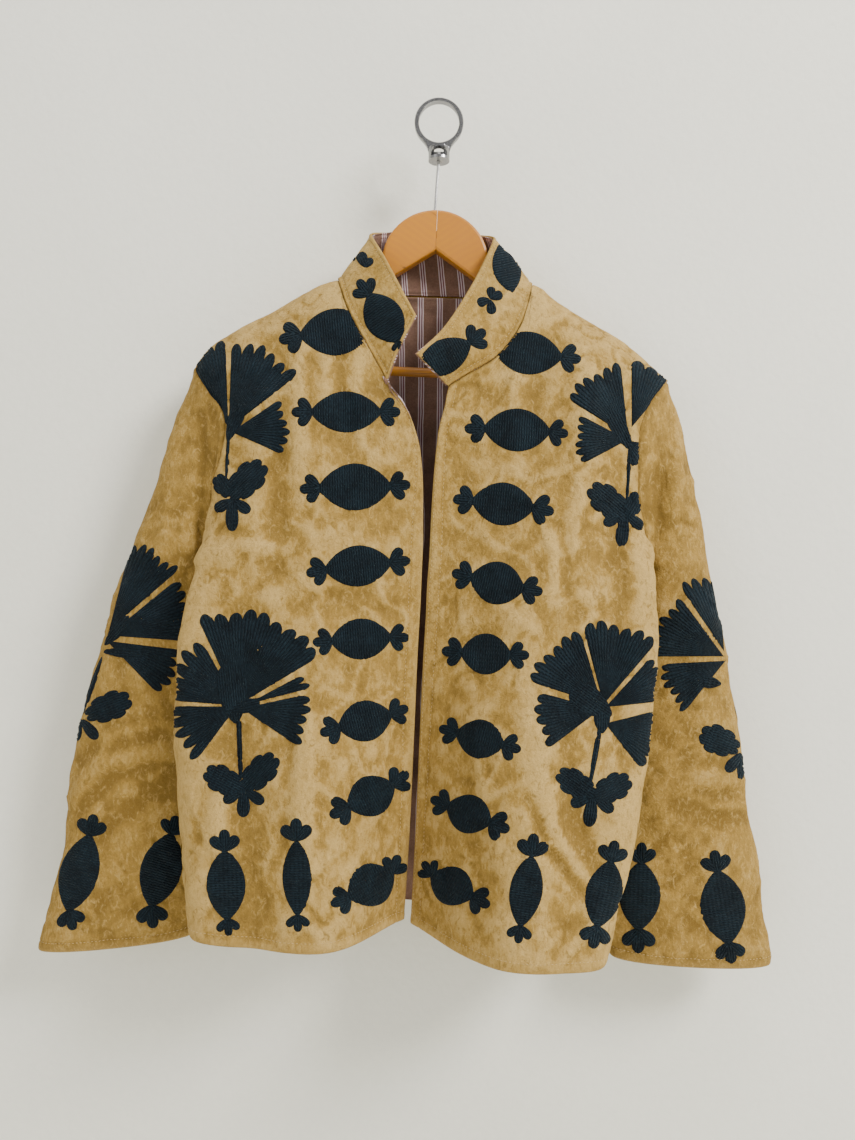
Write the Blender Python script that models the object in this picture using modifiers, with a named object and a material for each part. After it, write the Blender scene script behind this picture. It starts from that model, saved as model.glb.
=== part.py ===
"""Short embroidered velvet coat hung on a wooden hanger.

The origin is the top of the ring's inside, where a hook carries it.
+X is the viewer's right, -Y the front of the coat, +Z up.
Tables are in millimetres and the model is built in metres.
"""

import math

import bmesh
import bpy
import numpy as np
from mathutils import Matrix, Vector

MM = 0.001

# Driving sizes of the cloth, in millimetres
FRONT_WALL = 2.2
SLEEVE_WALL = 2.2
BACK_WALL = 1.7
LINING_WALL = 1.0
COLLAR_WALL = 2.0
COLLAR_START = 0.014
COLLAR_BOW = 2.5
COLLAR_LINING_WALL = 1.0
SEAM_GAP = 0.6
SEAM_WALL_SHARE = 0.5
# Shares of a panel's width and height where its neckline and its armhole end
NECK_SHARE = 0.24
ARMHOLE_SHARE = 0.6
# Even steps up the armhole against their share of its height, closer near the underarm and the tip
ARMHOLE_STEPS = (np.linspace(0, 1, 13), np.append(0.985 * np.linspace(0, 1, 12) ** 1.25, 1.0))
NECK_STEPS = 8
LAYER_GAP = 0.8
BACK_PLANE_Y = 27.0
POCKET_LOW_Z = -640.0
POCKET_HIGH_Z = -566.0
POCKET_ROOT = 12.0
POCKET_PEEK = 8.0
POCKET_LIFT = 0.3

# The rounded top of the shoulder, over the hanger
RIDGE_RADIUS = 26.0
RIDGE_SLOPE = 1.1
RIDGE_REACH = 50.0
SHOULDER_SEAM_AHEAD = 6.0

# Wooden hanger
WOOD_THICK = 13.0
WOOD_EDGE_ROUND = 2.4
WOOD_TILT = 2.5
ARCH_CENTRE_X = -3.5
ARCH_CENTRE_Z = -146.0
ARCH_RADIUS = 48.0
MITRE_GAP = 0.3
BAR_RADIUS = 4.2
BAR_Z = -243.0
BAR_HALF = 190.0
BAR_BORE_RADIUS = 4.6
BAR_BORE_END = 190.4

# Steel ring, the socket under it and the stem that turns in the socket
RING_INNER_R = 18.2
RING_OUTER_R = 22.0
RING_THICK = 6.0
RING_CHAMFER = 0.7
SOCKET_RADIUS = 9.5
SOCKET_TOP_Z = -41.0
SOCKET_BOTTOM_Z = -52.5
WINDOW_RADIUS = 7.0
WINDOW_ARCH_Z = -46.6
WINDOW_FLOOR_Z = -50.2
WINDOW_BACK_Y = 6.0
STEM_RADIUS = 1.4
STEM_HEAD_RADIUS = 2.8
STEM_HEAD_Z = -47.0
STEM_FOOT = (-3.7, -98.0)
STEM_IN_WOOD = 15.0
STEM_CLEARANCE = 0.35


class Table:
    """Rows of numbers under named columns, read smoothly between rows."""

    def __init__(self, columns, rows):
        self.names = columns.split()
        self.rows = np.array(rows, float)

    def column(self, name):
        return self.rows[:, self.names.index(name)]

    def at(self, name, key):
        """The named column at each key, on a curve that never overshoots its rows."""
        xs, ys = self.rows[:, 0], self.column(name)
        key = np.clip(np.asarray(key, float), xs[0], xs[-1])
        step, rise = np.diff(xs), np.diff(ys) / np.diff(xs)
        slope = np.concatenate([[rise[0]], np.zeros(len(xs) - 2), [rise[-1]]])
        same = rise[:-1] * rise[1:] > 0
        total = np.where(same, rise[:-1] + rise[1:], 1.0)
        slope[1:-1] = np.where(same, 2 * rise[:-1] * rise[1:] / total, 0.0)
        i = np.clip(np.searchsorted(xs, key, side="right") - 1, 0, len(xs) - 2)
        t = (key - xs[i]) / step[i]
        hermite = (2 * t**3 - 3 * t**2 + 1) * ys[i] + (t**3 - 2 * t**2 + t) * step[i] * slope[i]
        return hermite + (3 * t**2 - 2 * t**3) * ys[i + 1] + (t**3 - t**2) * step[i] * slope[i + 1]


# Height against the front opening edge, the point where the front turns to face ahead,
# the outermost side, the fold behind it, and the side seam, which is the armhole's front above the underarm
FRONT_COLUMNS = "z edge_x edge_y turn_x turn_y side_x side_y fold_x fold_y seam_x seam_y"
LEFT_FRONT = Table(
    FRONT_COLUMNS,
    (
        (-735, -31, -25, -92, -92, -203, -74, -207, -57, -207, -42),
        (-640, -25, -33, -94, -85, -214, -63, -218, -53, -214, -43),
        (-550, -21, -40, -99, -78, -222, -56, -225, -47, -218, -40),
        (-480, -18, -45, -106, -72, -217, -56, -216, -44, -192, -37),
        (-446, -16, -47, -112, -68, -212, -54, -210, -43, -184, -37),
        (-420, -15, -49, -115, -67, -206, -51, -201, -40, -174, -14),
        (-390, -14, -50, -118, -65, -198, -49, -202, -42, -196, -30),
        (-350, -14, -50, -120, -62, -184, -48, -191, -45, -196, -40),
        (-320, -16, -49, -120, -59, -178, -48, -184, -46, -188, -42),
        (-295, -22, -47, -120, -57, -172, -47, -179, -45, -184, -41),
        (-275, -32, -45, -121, -55, -176, -44, -183, -41, -188, -37),
        (-259, -44, -41, -122, -54, -186, -40, -194, -36, -200, -31),
        (-235, -53, -39, -125, -52, -200, -36, -208, -31, -214, -26),
        (-210, -62, -38, -128, -50, -207, -34, -214, -30, -218, -24),
        (-130, -66, -36, -132, -48, -207, -34, -214, -30, -218, -24),
    ),
)
RIGHT_FRONT = Table(
    FRONT_COLUMNS,
    (
        (-750, -27, -25, 54, -106, 128, -86, 134, -66, 136, -48),
        (-640, -21, -33, 58, -96, 160, -68, 164, -56, 162, -45),
        (-550, -17, -40, 64, -86, 176, -58, 180, -48, 174, -40),
        (-490, -14, -45, 72, -77, 182, -56, 183, -44, 164, -37),
        (-458, -12, -47, 78, -74, 183, -53, 181, -44, 167, -37),
        (-434, -11, -49, 82, -71, 182, -51, 179, -40, 158, -14),
        (-408, -9, -50, 87, -68, 178, -49, 182, -42, 176, -28),
        (-386, -8, -50, 90, -66, 165, -50, 172, -46, 176, -40),
        (-350, -6, -51, 94, -63, 158, -50, 165, -47, 170, -43),
        (-300, -1, -50, 97, -58, 158, -48, 166, -45, 172, -41),
        (-280, 4, -48, 99, -56, 164, -45, 172, -42, 178, -38),
        (-260, 8, -45, 101, -54, 174, -40, 182, -36, 189, -31),
        (-238, 16, -42, 103, -52, 187, -36, 194, -31, 201, -26),
        (-215, 24, -40, 105, -50, 193, -34, 200, -30, 204, -24),
        (-130, 32, -38, 110, -48, 193, -34, 200, -30, 204, -24),
    ),
)

# The back's side: its seam with the front, or the armhole's back, the passage in front of
# the sleeve, the nook beside the sleeve, and where the back comes to lie in its plane
BACK_COLUMNS = "z seam_x seam_y run_x run_y nook_x nook_y plane_x"
LEFT_BACK = Table(
    BACK_COLUMNS,
    (
        (-735, -207, -42, -205, -22, -198, 2, -174),
        (-640, -214, -43, -198, -38, -181, -8, -162),
        (-550, -218, -40, -186, -38, -164, -8, -146),
        (-480, -192, -37, -172, -33, -154, -6, -138),
        (-446, -184, -37, -172, -29, -160, -6, -140),
        (-420, -174, -14, -166, -4, -157, 8, -142),
        (-350, -203, 15, -196, 19, -188, 23, -166),
        (-290, -208, 18, -202, 22, -194, 25, -170),
        (-210, -218, 14, -212, 19, -204, 23, -178),
        (-130, -218, 14, -212, 19, -204, 23, -178),
    ),
)
RIGHT_BACK = Table(
    BACK_COLUMNS,
    (
        (-750, 136, -48, 138, -24, 134, 2, 110),
        (-640, 162, -45, 148, -38, 129, -8, 110),
        (-550, 174, -40, 140, -38, 119, -8, 101),
        (-490, 164, -37, 146, -33, 130, -6, 112),
        (-458, 167, -37, 156, -29, 143, -6, 122),
        (-434, 158, -14, 150, -4, 142, 8, 126),
        (-360, 188, 15, 181, 19, 173, 23, 150),
        (-300, 193, 18, 187, 22, 179, 25, 156),
        (-210, 204, 14, 198, 19, 190, 23, 166),
        (-130, 204, 14, 198, 19, 190, 23, 166),
    ),
)

UNDERARM = {"left": -420.0, "right": -434.0}
RIDGE = Table(
    "x z",
    (
        (-218, -238),
        (-196, -216),
        (-153, -192),
        (-91, -161),
        (-10, -150),
        (82, -165),
        (109, -183),
        (167, -219),
        (205, -252),
    ),
)
HEM = Table(
    "x z",
    ((-210, -721), (-92, -726), (-29, -724), (-26, -727), (54, -735), (140, -741)),
)
BACK_HEM = Table("x z", ((-210, -721), (-60, -725), (140, -741)))
# The neckline down each front, as a share of its way from the neck point to the shoulder
LEFT_NECK = Table("share x z", ((0, -44, -259), (0.35, -61, -229), (0.7, -80, -192), (1, -90, -161)))
RIGHT_NECK = Table(
    "share x z", ((0, 6, -264), (0.13, 20, -255), (0.42, 48, -238), (0.72, 70, -208), (1, 83, -165))
)
# How far down the back the neckline runs, measured over the ridge
BACK_NECK = Table(
    "x over", ((-90, -6), (-80, 15), (-60, 29), (-5, 36), (54, 29), (74, 15), (83, -6))
)

BACK_TIP_LEFT = -218.0
BACK_TIP_RIGHT = 204.0
BACK_NECK_LEFT = (BACK_NECK.rows[0, 0] - BACK_TIP_LEFT) / (BACK_TIP_RIGHT - BACK_TIP_LEFT)
BACK_NECK_RIGHT = (BACK_NECK.rows[-1, 0] - BACK_TIP_LEFT) / (BACK_TIP_RIGHT - BACK_TIP_LEFT)

# The sleeves from the armhole to the cuff: outermost point, innermost point, half depth
SLEEVE_COLUMNS = "row outer_x outer_z inner_x inner_z half_depth"
LEFT_SLEEVE = Table(
    SLEEVE_COLUMNS,
    (
        (0, -218, -240, -172, -420, 26),
        (1, -236, -280, -185, -432, 31),
        (2, -252, -338, -184, -446, 33),
        (3, -271, -392, -180, -466, 33),
        (4, -294, -458, -174, -502, 31),
        (5, -311, -520, -178, -548, 29),
        (6, -328, -595, -188, -607, 27),
        (7, -334, -660, -197, -664, 25),
        (8, -349, -716, -208, -710, 23),
        (9, -359, -759, -218, -745, 22),
    ),
)
RIGHT_SLEEVE = Table(
    SLEEVE_COLUMNS,
    (
        (0, 205, -252, 156, -434, 26),
        (1, 217, -294, 169, -446, 31),
        (2, 228, -346, 168, -460, 33),
        (3, 238, -404, 163, -480, 33),
        (4, 251, -470, 150, -518, 31),
        (5, 261, -527, 143, -562, 29),
        (6, 272, -600, 141, -615, 27),
        (7, 282, -654, 145, -668, 25),
        (8, 290, -712, 149, -716, 23),
        (9, 297, -772, 153, -765, 22),
    ),
)
SLEEVE_CENTRE_Y = -1.0
SLEEVE_EGG = 0.28
# How much each of the first rows keeps the armhole's own shape
SLEEVE_FOLLOWS = (1.0, 0.55, 0.22, 0.06)
SLEEVE_START = 0.034
SLEEVE_ROWS = np.array([SLEEVE_START, 0.1, 0.4, 0.8, *np.linspace(1.3, 9, 15)])

# The collar's free edge against its share of the neckline, from the left front round the back
COLLAR_TOP = Table(
    "share x y z",
    (
        (0, -20, -46, -204),
        (0.09, -33, -39, -178),
        (0.19, -48, -25, -146),
        (0.28, -61, -5, -119),
        (0.37, -47, 12, -112),
        (0.49, -3, 20, -108),
        (0.61, 36, 12, -114),
        (0.7, 49, -4, -122),
        (0.78, 36, -24, -156),
        (0.86, 19, -40, -190),
        (0.93, 2, -58, -219),
        (1, -19, -72, -243),
    ),
)

# Largest folds: ends in the front view, half width, height out of the cloth (negative sinks), bow sideways
FOLD_COLUMNS = "x0 z0 x1 z1 width rise bow"
FRONT_FOLDS = (
    (-143, -225, -138, -420, 13, -5.0, 3),
    (-118, -235, -116, -330, 12, 3.5, 0),
    (-82, -240, -78, -330, 10, -3.0, 0),
    (-205, -410, -130, -405, 9, 3.5, 6),
    (-110, -540, -112, -660, 10, 4.0, -3),
    (-170, -560, -150, -722, 16, -4.5, 4),
    (-178, -590, -184, -650, 9, 4.0, 0),
    (88, -225, 80, -330, 12, -4.0, -4),
    (122, -240, 108, -400, 13, 4.0, 5),
    (150, -300, 146, -520, 12, -4.0, 3),
    (64, -470, 78, -720, 16, 4.0, 8),
    (104, -560, 138, -690, 12, -5.0, -10),
    (26, -600, 30, -730, 16, -3.0, 0),
)
BACK_FOLDS = (
    (-150, -230, -120, -520, 18, 4.0, 8),
    (-90, -300, -84, -724, 24, -5.0, 6),
    (-36, -260, -40, -724, 24, 4.5, -5),
    (22, -320, 28, -730, 24, -5.0, 5),
    (86, -260, 70, -732, 22, 4.0, -6),
    (140, -240, 110, -480, 18, -4.0, -6),
)
SLEEVE_FOLDS = {
    "left": (
        (-325, -625, -290, -590, 9, 4.5, 3),
        (-292, -590, -215, -574, 9, 4.5, 3),
        (-305, -650, -235, -612, 13, -3.5, 4),
        (-262, -402, -205, -394, 11, 3.5, 3),
    ),
    "right": (
        (215, -262, 200, -370, 8, 4.5, 3),
        (285, -610, 205, -606, 11, 3.5, -4),
        (288, -640, 215, -628, 9, -3.5, 4),
        (250, -470, 196, -452, 12, 3.0, 3),
    ),
}


# Hanger arm's edges, by distance from the mitre: from the arch out to the tip, and back under it
ARM_TOP = Table(
    "out z",
    (
        (46.9, -136),
        (49.5, -149),
        (56, -161),
        (68, -170.5),
        (88, -179),
        (112, -189),
        (150, -213),
        (176, -231),
        (190, -241),
    ),
)
ARM_FOOT = Table("out z", ((0.15, -134.2), (33, -156.5), (88, -196), (150, -232), (180, -249)))
ARM_TIP = ((195, -245), (198, -251), (196, -256), (189, -257))

# Half of the ring's outline below its widest part, down to the socket
RING_FLARE = ((14.7, -16.3), (11.6, -20.2), (9.9, -24.0), (9.3, -27.5))


def spline(controls, share, before=0, after=0):
    """Points on the smooth curve through each row of controls, a share of the way along it.

    The first and last few controls can lie beyond its ends, only to steer it there.
    """
    gaps = np.maximum(np.linalg.norm(np.diff(controls, axis=1), axis=2), 1e-6)
    rise = np.diff(controls, axis=1) / gaps[:, :, None]
    inner = (rise[:, :-1] * gaps[:, 1:, None] + rise[:, 1:] * gaps[:, :-1, None]) / (
        gaps[:, :-1, None] + gaps[:, 1:, None]
    )
    slope = np.concatenate([rise[:, :1], inner, rise[:, -1:]], axis=1)
    stop = controls.shape[1] - after
    controls, slope, gaps = controls[:, before:stop], slope[:, before:stop], gaps[:, before : stop - 1]
    reach = np.concatenate([np.zeros((len(gaps), 1)), np.cumsum(gaps, axis=1)], axis=1)
    reach /= reach[:, -1:]
    i = np.clip((share[:, None] >= reach[:, 1:-1]).sum(1), 0, gaps.shape[1] - 1)
    row = np.arange(len(share))
    t = ((share - reach[row, i]) / (reach[row, i + 1] - reach[row, i]))[:, None]
    length = gaps[row, i][:, None]
    start, end = controls[row, i], controls[row, i + 1]
    curve = (2 * t**3 - 3 * t**2 + 1) * start + (3 * t**2 - 2 * t**3) * end
    return curve + length * ((t**3 - 2 * t**2 + t) * slope[row, i] + (t**3 - t**2) * slope[row, i + 1])


def across_the_seam(level, side, inner, seam, beyond):
    """Where a panel heads as it reaches its side seam: on round the body, or straight on at an armhole."""
    straight = seam + (seam - inner) * 0.6
    share = ease((level - UNDERARM[side]) / 25)[:, None]
    return beyond + (straight - beyond) * share


def over_the_ridge(x, y, level):
    """Bends a section point over the rounded shoulder. Returns its y and z."""
    ridge = RIDGE.at("z", x)
    away = ridge - level + RIDGE_RADIUS
    drop = np.sqrt(away**2 + RIDGE_RADIUS**2) - RIDGE_RADIUS
    room = np.maximum(np.abs(y), 8.0)
    eased = y * (1 - np.exp(-np.maximum(away, 0) * RIDGE_SLOPE / room))
    over = RIDGE_REACH * (1 - np.exp(np.minimum(away, 0) * RIDGE_SLOPE / RIDGE_REACH))
    return eased - over, ridge - drop


def level_over(x, away):
    """The level whose section lies this far from the ridge at x."""
    return RIDGE.at("z", x) + RIDGE_RADIUS - away


def section_points(table, names, level):
    return [np.stack([table.at(f"{name}_x", level), table.at(f"{name}_y", level)], axis=1) for name in names]


def front_section(side, share, level):
    """A point on a front at a share of its width from the opening edge, at a level."""
    table = LEFT_FRONT if side == "left" else RIGHT_FRONT
    points = section_points(table, ("edge", "turn", "side", "fold", "seam"), level)
    middle = (points[1] + points[2]) / 2 + np.array([0.0, -6.0])
    run = section_points(LEFT_BACK if side == "left" else RIGHT_BACK, ("run",), level)[0]
    beyond = across_the_seam(level, side, points[3], points[4], run)
    controls = np.stack([points[0], points[1], middle, *points[2:], beyond], axis=1)
    return spline(controls, share, after=1)


def front_point(side, share, level):
    section = front_section(side, share, level)
    y, z = over_the_ridge(section[:, 0], section[:, 1], level)
    return np.stack([section[:, 0], y, z], axis=1)


def back_section(share, level):
    """A point on the back at a share of its width, from the left seam to the right one."""
    sides = []
    for side, table, front in (("left", LEFT_BACK, LEFT_FRONT), ("right", RIGHT_BACK, RIGHT_FRONT)):
        points = section_points(table, ("seam", "run", "nook"), level)
        plane = np.stack([table.at("plane_x", level), np.full(len(level), BACK_PLANE_Y)], axis=1)
        fold = section_points(front, ("fold",), level)[0]
        beyond = across_the_seam(level, side, points[1], points[0], fold)
        sides.append([beyond, *points, plane])
    centre = (sides[0][4] + sides[1][4]) / 2 + np.array([0.0, 1.0])
    controls = np.stack([*sides[0], centre, *sides[1][::-1]], axis=1)
    return spline(controls, share, before=1, after=1)


def back_point(share, level):
    section = back_section(share, level)
    y, z = over_the_ridge(section[:, 0], section[:, 1], level)
    return np.stack([section[:, 0], y, z], axis=1)


def solve_share(section, x, level):
    """The share across a section where it reaches x, by halving."""
    low, high = np.zeros(len(x)), np.ones(len(x))
    rising = section(high, level)[:, 0] > section(low, level)[:, 0]
    for _ in range(40):
        middle = (low + high) / 2
        short = (section(middle, level)[:, 0] < x) == rising
        low, high = np.where(short, middle, low), np.where(short, high, middle)
    return (low + high) / 2


def ease(share):
    """A smooth climb from 0 to 1, held outside that span."""
    held = np.clip(share, 0, 1)
    return held * held * (3 - 2 * held)


def fold_rise(x, z, folds):
    """How far the folds lift the cloth at points of the front view."""
    total = np.zeros(len(x))
    for x0, z0, x1, z1, width, rise, bow in folds:
        run, climb = x1 - x0, z1 - z0
        length = math.hypot(run, climb)
        along = ((x - x0) * run + (z - z0) * climb) / length**2
        across = ((z - z0) * run - (x - x0) * climb) / length
        held = np.clip(along, 0, 1)
        beyond = (along - held) * length
        across = across - bow * np.sin(math.pi * held)
        taper = np.exp(-((beyond / (1.2 * width)) ** 2)) * (0.55 + 0.45 * np.sin(math.pi * held))
        total += rise * taper * np.exp(-((across / width) ** 2))
    return total


def normals_of(point, share, level, small=(0.002, 0.6)):
    """Unit normals of a surface function at each share and level."""
    da = point(np.minimum(share + small[0], 1), level) - point(np.maximum(share - small[0], 0), level)
    db = point(share, level + small[1]) - point(share, level - small[1])
    normal = np.cross(da, db)
    return normal / np.maximum(np.linalg.norm(normal, axis=1), 1e-9)[:, None]


def level_at(foot, under, top, v):
    """The level a share of the way up a panel, with the underarm at its own share."""
    low = foot + (under - foot) * v / ARMHOLE_SHARE
    high = under + (top - under) * (v - ARMHOLE_SHARE) / (1 - ARMHOLE_SHARE)
    return np.where(v <= ARMHOLE_SHARE, low, high)


def front_domain(side, u, v):
    """Share and level of a front's grid point: straight at the hem, neckline and shoulder on top."""
    neck = LEFT_NECK if side == "left" else RIGHT_NECK
    tip_x = (LEFT_FRONT if side == "left" else RIGHT_FRONT).at("seam_x", -130)
    share_n = np.clip(u / NECK_SHARE, 0, 1)
    x_neck, z_neck = neck.at("x", share_n), neck.at("z", share_n)
    drop = np.maximum(RIDGE.at("z", x_neck) - z_neck, 0)
    away_neck = np.maximum(np.sqrt((drop + RIDGE_RADIUS) ** 2 - RIDGE_RADIUS**2), SHOULDER_SEAM_AHEAD)
    share_s = np.clip((u - NECK_SHARE) / (1 - NECK_SHARE), 0, 1)
    x_top = np.where(u <= NECK_SHARE, x_neck, neck.rows[-1, 1] + (tip_x - neck.rows[-1, 1]) * share_s)
    away = np.where(u <= NECK_SHARE, away_neck, SHOULDER_SEAM_AHEAD)
    top = level_over(x_top, away + SEAM_GAP / 2)
    top_share = solve_share(lambda s, l: front_section(side, s, l), x_top, top)
    top_share = np.where(u >= 1, 1.0, np.where(u <= 0, 0.0, top_share))
    foot_x = front_section(side, u, np.full(len(u), -730.0))[:, 0]
    share = u + (top_share - u) * v**2
    trim = 1 - SEAM_GAP / 2 / 260
    return np.minimum(share, trim), level_at(HEM.at("z", foot_x), UNDERARM[side], top, v)


def back_domain(u, v):
    """Share and level of the back's grid point, up to the shoulder seams and the back neckline."""
    x_top = BACK_TIP_LEFT + (BACK_TIP_RIGHT - BACK_TIP_LEFT) * u
    top = level_over(x_top, BACK_NECK.at("over", x_top) + SEAM_GAP / 2)
    top_share = solve_share(back_section, x_top, top)
    top_share = np.where(u >= 1, 1.0, np.where(u <= 0, 0.0, top_share))
    foot_x = back_section(u, np.full(len(u), -730.0))[:, 0]
    under = UNDERARM["left"] + (UNDERARM["right"] - UNDERARM["left"]) * u
    share = u + (top_share - u) * v**2
    trim = SEAM_GAP / 2 / 480
    return np.clip(share, trim, 1 - trim), level_at(BACK_HEM.at("z", foot_x), under, top, v)


def front_surface(side, u, v, lift=0.0):
    share, level = front_domain(side, u, v)
    point = front_point(side, share, level)
    normal = normals_of(lambda s, l: front_point(side, s, l), share, level)
    normal *= -1.0 if side == "left" else 1.0
    held = ease((1 - v) / 0.09) * ease((1 - u) / 0.08)
    return point + normal * (fold_rise(point[:, 0], point[:, 2], FRONT_FOLDS) * held + lift)[:, None]


def back_surface(u, v, lift=0.0):
    share, level = back_domain(u, v)
    point = back_point(share, level)
    normal = -normals_of(back_point, share, level)
    held = ease((1 - v) / 0.12) * ease(u / 0.2) * ease((1 - u) / 0.2)
    return point + normal * (fold_rise(point[:, 0], point[:, 2], BACK_FOLDS) * held + lift)[:, None]


def armhole_point(side, turn):
    """A point of the armhole: turn 0 at the shoulder tip, down the front, 0.5 at the underarm."""
    fall = np.abs(1 - 2 * turn)
    v = ARMHOLE_SHARE + (1 - ARMHOLE_SHARE) * np.interp(fall, *ARMHOLE_STEPS)
    ones = np.ones(len(turn))
    front = front_surface(side, ones, v)
    back = back_surface(ones * (0.0 if side == "left" else 1.0), v)
    return np.where((turn <= 0.5)[:, None], front, back)


def sleeve_ring(side, row, turn):
    """Points of one table row's oval. Turn 0 is the outer fold, 0.25 the front, 0.5 the inner fold."""
    table = LEFT_SLEEVE if side == "left" else RIGHT_SLEEVE
    outer_x, outer_z, inner_x, inner_z, depth = table.rows[row, 1:]
    angle = 2 * math.pi * turn
    along = np.sign(np.cos(angle)) * np.abs(np.cos(angle)) ** 0.92
    ahead = np.sign(np.sin(angle)) * np.abs(np.sin(angle)) ** 0.8
    x = (outer_x + inner_x) / 2 + (outer_x - inner_x) / 2 * along
    z = (outer_z + inner_z) / 2 + (outer_z - inner_z) / 2 * along
    egg = SLEEVE_EGG * max(0.0, 1 - row / 6)
    y = SLEEVE_CENTRE_Y - depth * ahead * (1 + egg * along)
    return np.stack([x, y, z], axis=1)


def sleeve_base(side, turn, row):
    """A point on a sleeve: turn round it, row 0 at the armhole and 9 at the cuff."""
    turn = turn % 1.0
    first = armhole_point(side, turn)
    around = armhole_point(side, np.linspace(0, 1, 25)[:24]).mean(axis=0)
    rings = [first]
    for k in range(1, 10):
        oval = sleeve_ring(side, k, turn)
        middle = sleeve_ring(side, k, np.linspace(0, 1, 9)[:8]).mean(axis=0)
        follow = SLEEVE_FOLLOWS[k] if k < len(SLEEVE_FOLLOWS) else 0.0
        rings.append(oval + (first - around + middle - oval) * follow)
    rings = np.stack(rings, axis=1)
    count = rings.shape[1]
    i = np.clip(row.astype(int), 0, count - 2)
    t = (row - i)[:, None]
    pick = np.arange(len(turn))
    here, there = rings[pick, i], rings[pick, i + 1]
    before = rings[pick, np.maximum(i - 1, 0)]
    after = rings[pick, np.minimum(i + 2, count - 1)]
    rise_0 = (there - before) / 2 * np.where(i == 0, 2.0, 1.0)[:, None]
    rise_1 = (after - here) / 2 * np.where(i == count - 2, 2.0, 1.0)[:, None]
    curve = (2 * t**3 - 3 * t**2 + 1) * here + (3 * t**2 - 2 * t**3) * there
    return curve + (t**3 - 2 * t**2 + t) * rise_0 + (t**3 - t**2) * rise_1


def sleeve_surface(side, turn, row, lift=0.0):
    point = sleeve_base(side, turn, row)
    step = 0.004
    around = sleeve_base(side, turn + step, row) - sleeve_base(side, turn - step, row)
    last = len(LEFT_SLEEVE.rows) - 1.0
    down = sleeve_base(side, turn, np.minimum(row + 0.01, last)) - sleeve_base(
        side, turn, np.maximum(row - 0.01, 0)
    )
    normal = np.cross(around, down) * (1.0 if side == "right" else -1.0)
    normal /= np.maximum(np.linalg.norm(normal, axis=1), 1e-9)[:, None]
    facing = np.clip(-normal[:, 1], 0, 1)
    held = np.clip((row - 0.3) / 0.9, 0, 1)
    fold = fold_rise(point[:, 0], point[:, 2], SLEEVE_FOLDS[side]) * facing * held
    return point + normal * (fold + lift)[:, None]


def neckline(u):
    """A point of the collar's seam: the left front, the back, then the right front, a third each."""
    share = 3 * u
    ones = np.ones(len(u))
    left = front_surface("left", NECK_SHARE * np.clip(share, 0, 1), ones)
    across = BACK_NECK_LEFT + (BACK_NECK_RIGHT - BACK_NECK_LEFT) * np.clip(share - 1, 0, 1)
    back = back_surface(across, ones)
    right = front_surface("right", NECK_SHARE * np.clip(3 - share, 0, 1), ones)
    return np.where((share <= 1)[:, None], left, np.where((share < 2)[:, None], back, right))


def neck_lengths():
    """The share of the neckline's length at even steps of u."""
    steps = np.linspace(0, 1, 301)
    gaps = np.linalg.norm(np.diff(neckline(steps), axis=0), axis=1)
    reach = np.concatenate([[0], np.cumsum(gaps)])
    return steps, reach / reach[-1]


def collar_surface(u, v, lift=0.0):
    """The collar band: u round the neck, v from its seam to its free edge."""
    lengths = neck_lengths()

    def band(share, up):
        foot = neckline(share)
        along = np.interp(share, *lengths)
        top = np.stack([COLLAR_TOP.at(name, along) for name in "xyz"], axis=1)
        point = foot + (top - foot) * (COLLAR_START + (1 - COLLAR_START) * up)[:, None]
        outward = (point - np.array([-4.0, -10.0, 0.0])) * np.array([1.0, 1.0, 0.0])
        outward /= np.linalg.norm(outward, axis=1)[:, None]
        return point + outward * (COLLAR_BOW * np.sin(math.pi * up))[:, None]

    around = band(np.minimum(u + 0.004, 1), v) - band(np.maximum(u - 0.004, 0), v)
    upward = band(u, np.minimum(v + 0.02, 1)) - band(u, np.maximum(v - 0.02, 0))
    normal = np.cross(upward, around)
    normal /= np.maximum(np.linalg.norm(normal, axis=1), 1e-9)[:, None]
    return band(u, v) + normal * lift


def clear_scene():
    for item in list(bpy.data.objects):
        bpy.data.objects.remove(item, do_unlink=True)
    coat = bpy.data.collections.new("coat_on_hanger")
    cutters = bpy.data.collections.new("cutters")
    bpy.context.scene.collection.children.link(coat)
    bpy.context.scene.collection.children.link(cutters)
    return coat, cutters


def finish_material(name, colour, roughness, metallic=0.0):
    material = bpy.data.materials.new(name)
    material.use_nodes = True
    shader = material.node_tree.nodes["Principled BSDF"]
    shader.inputs["Base Color"].default_value = (*colour, 1.0)
    shader.inputs["Roughness"].default_value = roughness
    shader.inputs["Metallic"].default_value = metallic
    return material


def place(mesh, name, material, collection):
    item = bpy.data.objects.new(name, mesh)
    mesh.materials.append(material)
    collection.objects.link(item)
    return item


def runs(*spans):
    """Places along a panel from spans of (start, end, steps) that follow each other."""
    parts = [np.linspace(start, end, steps + 1)[1:] for start, end, steps in spans]
    return np.concatenate([[spans[0][0]], *parts])


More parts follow.
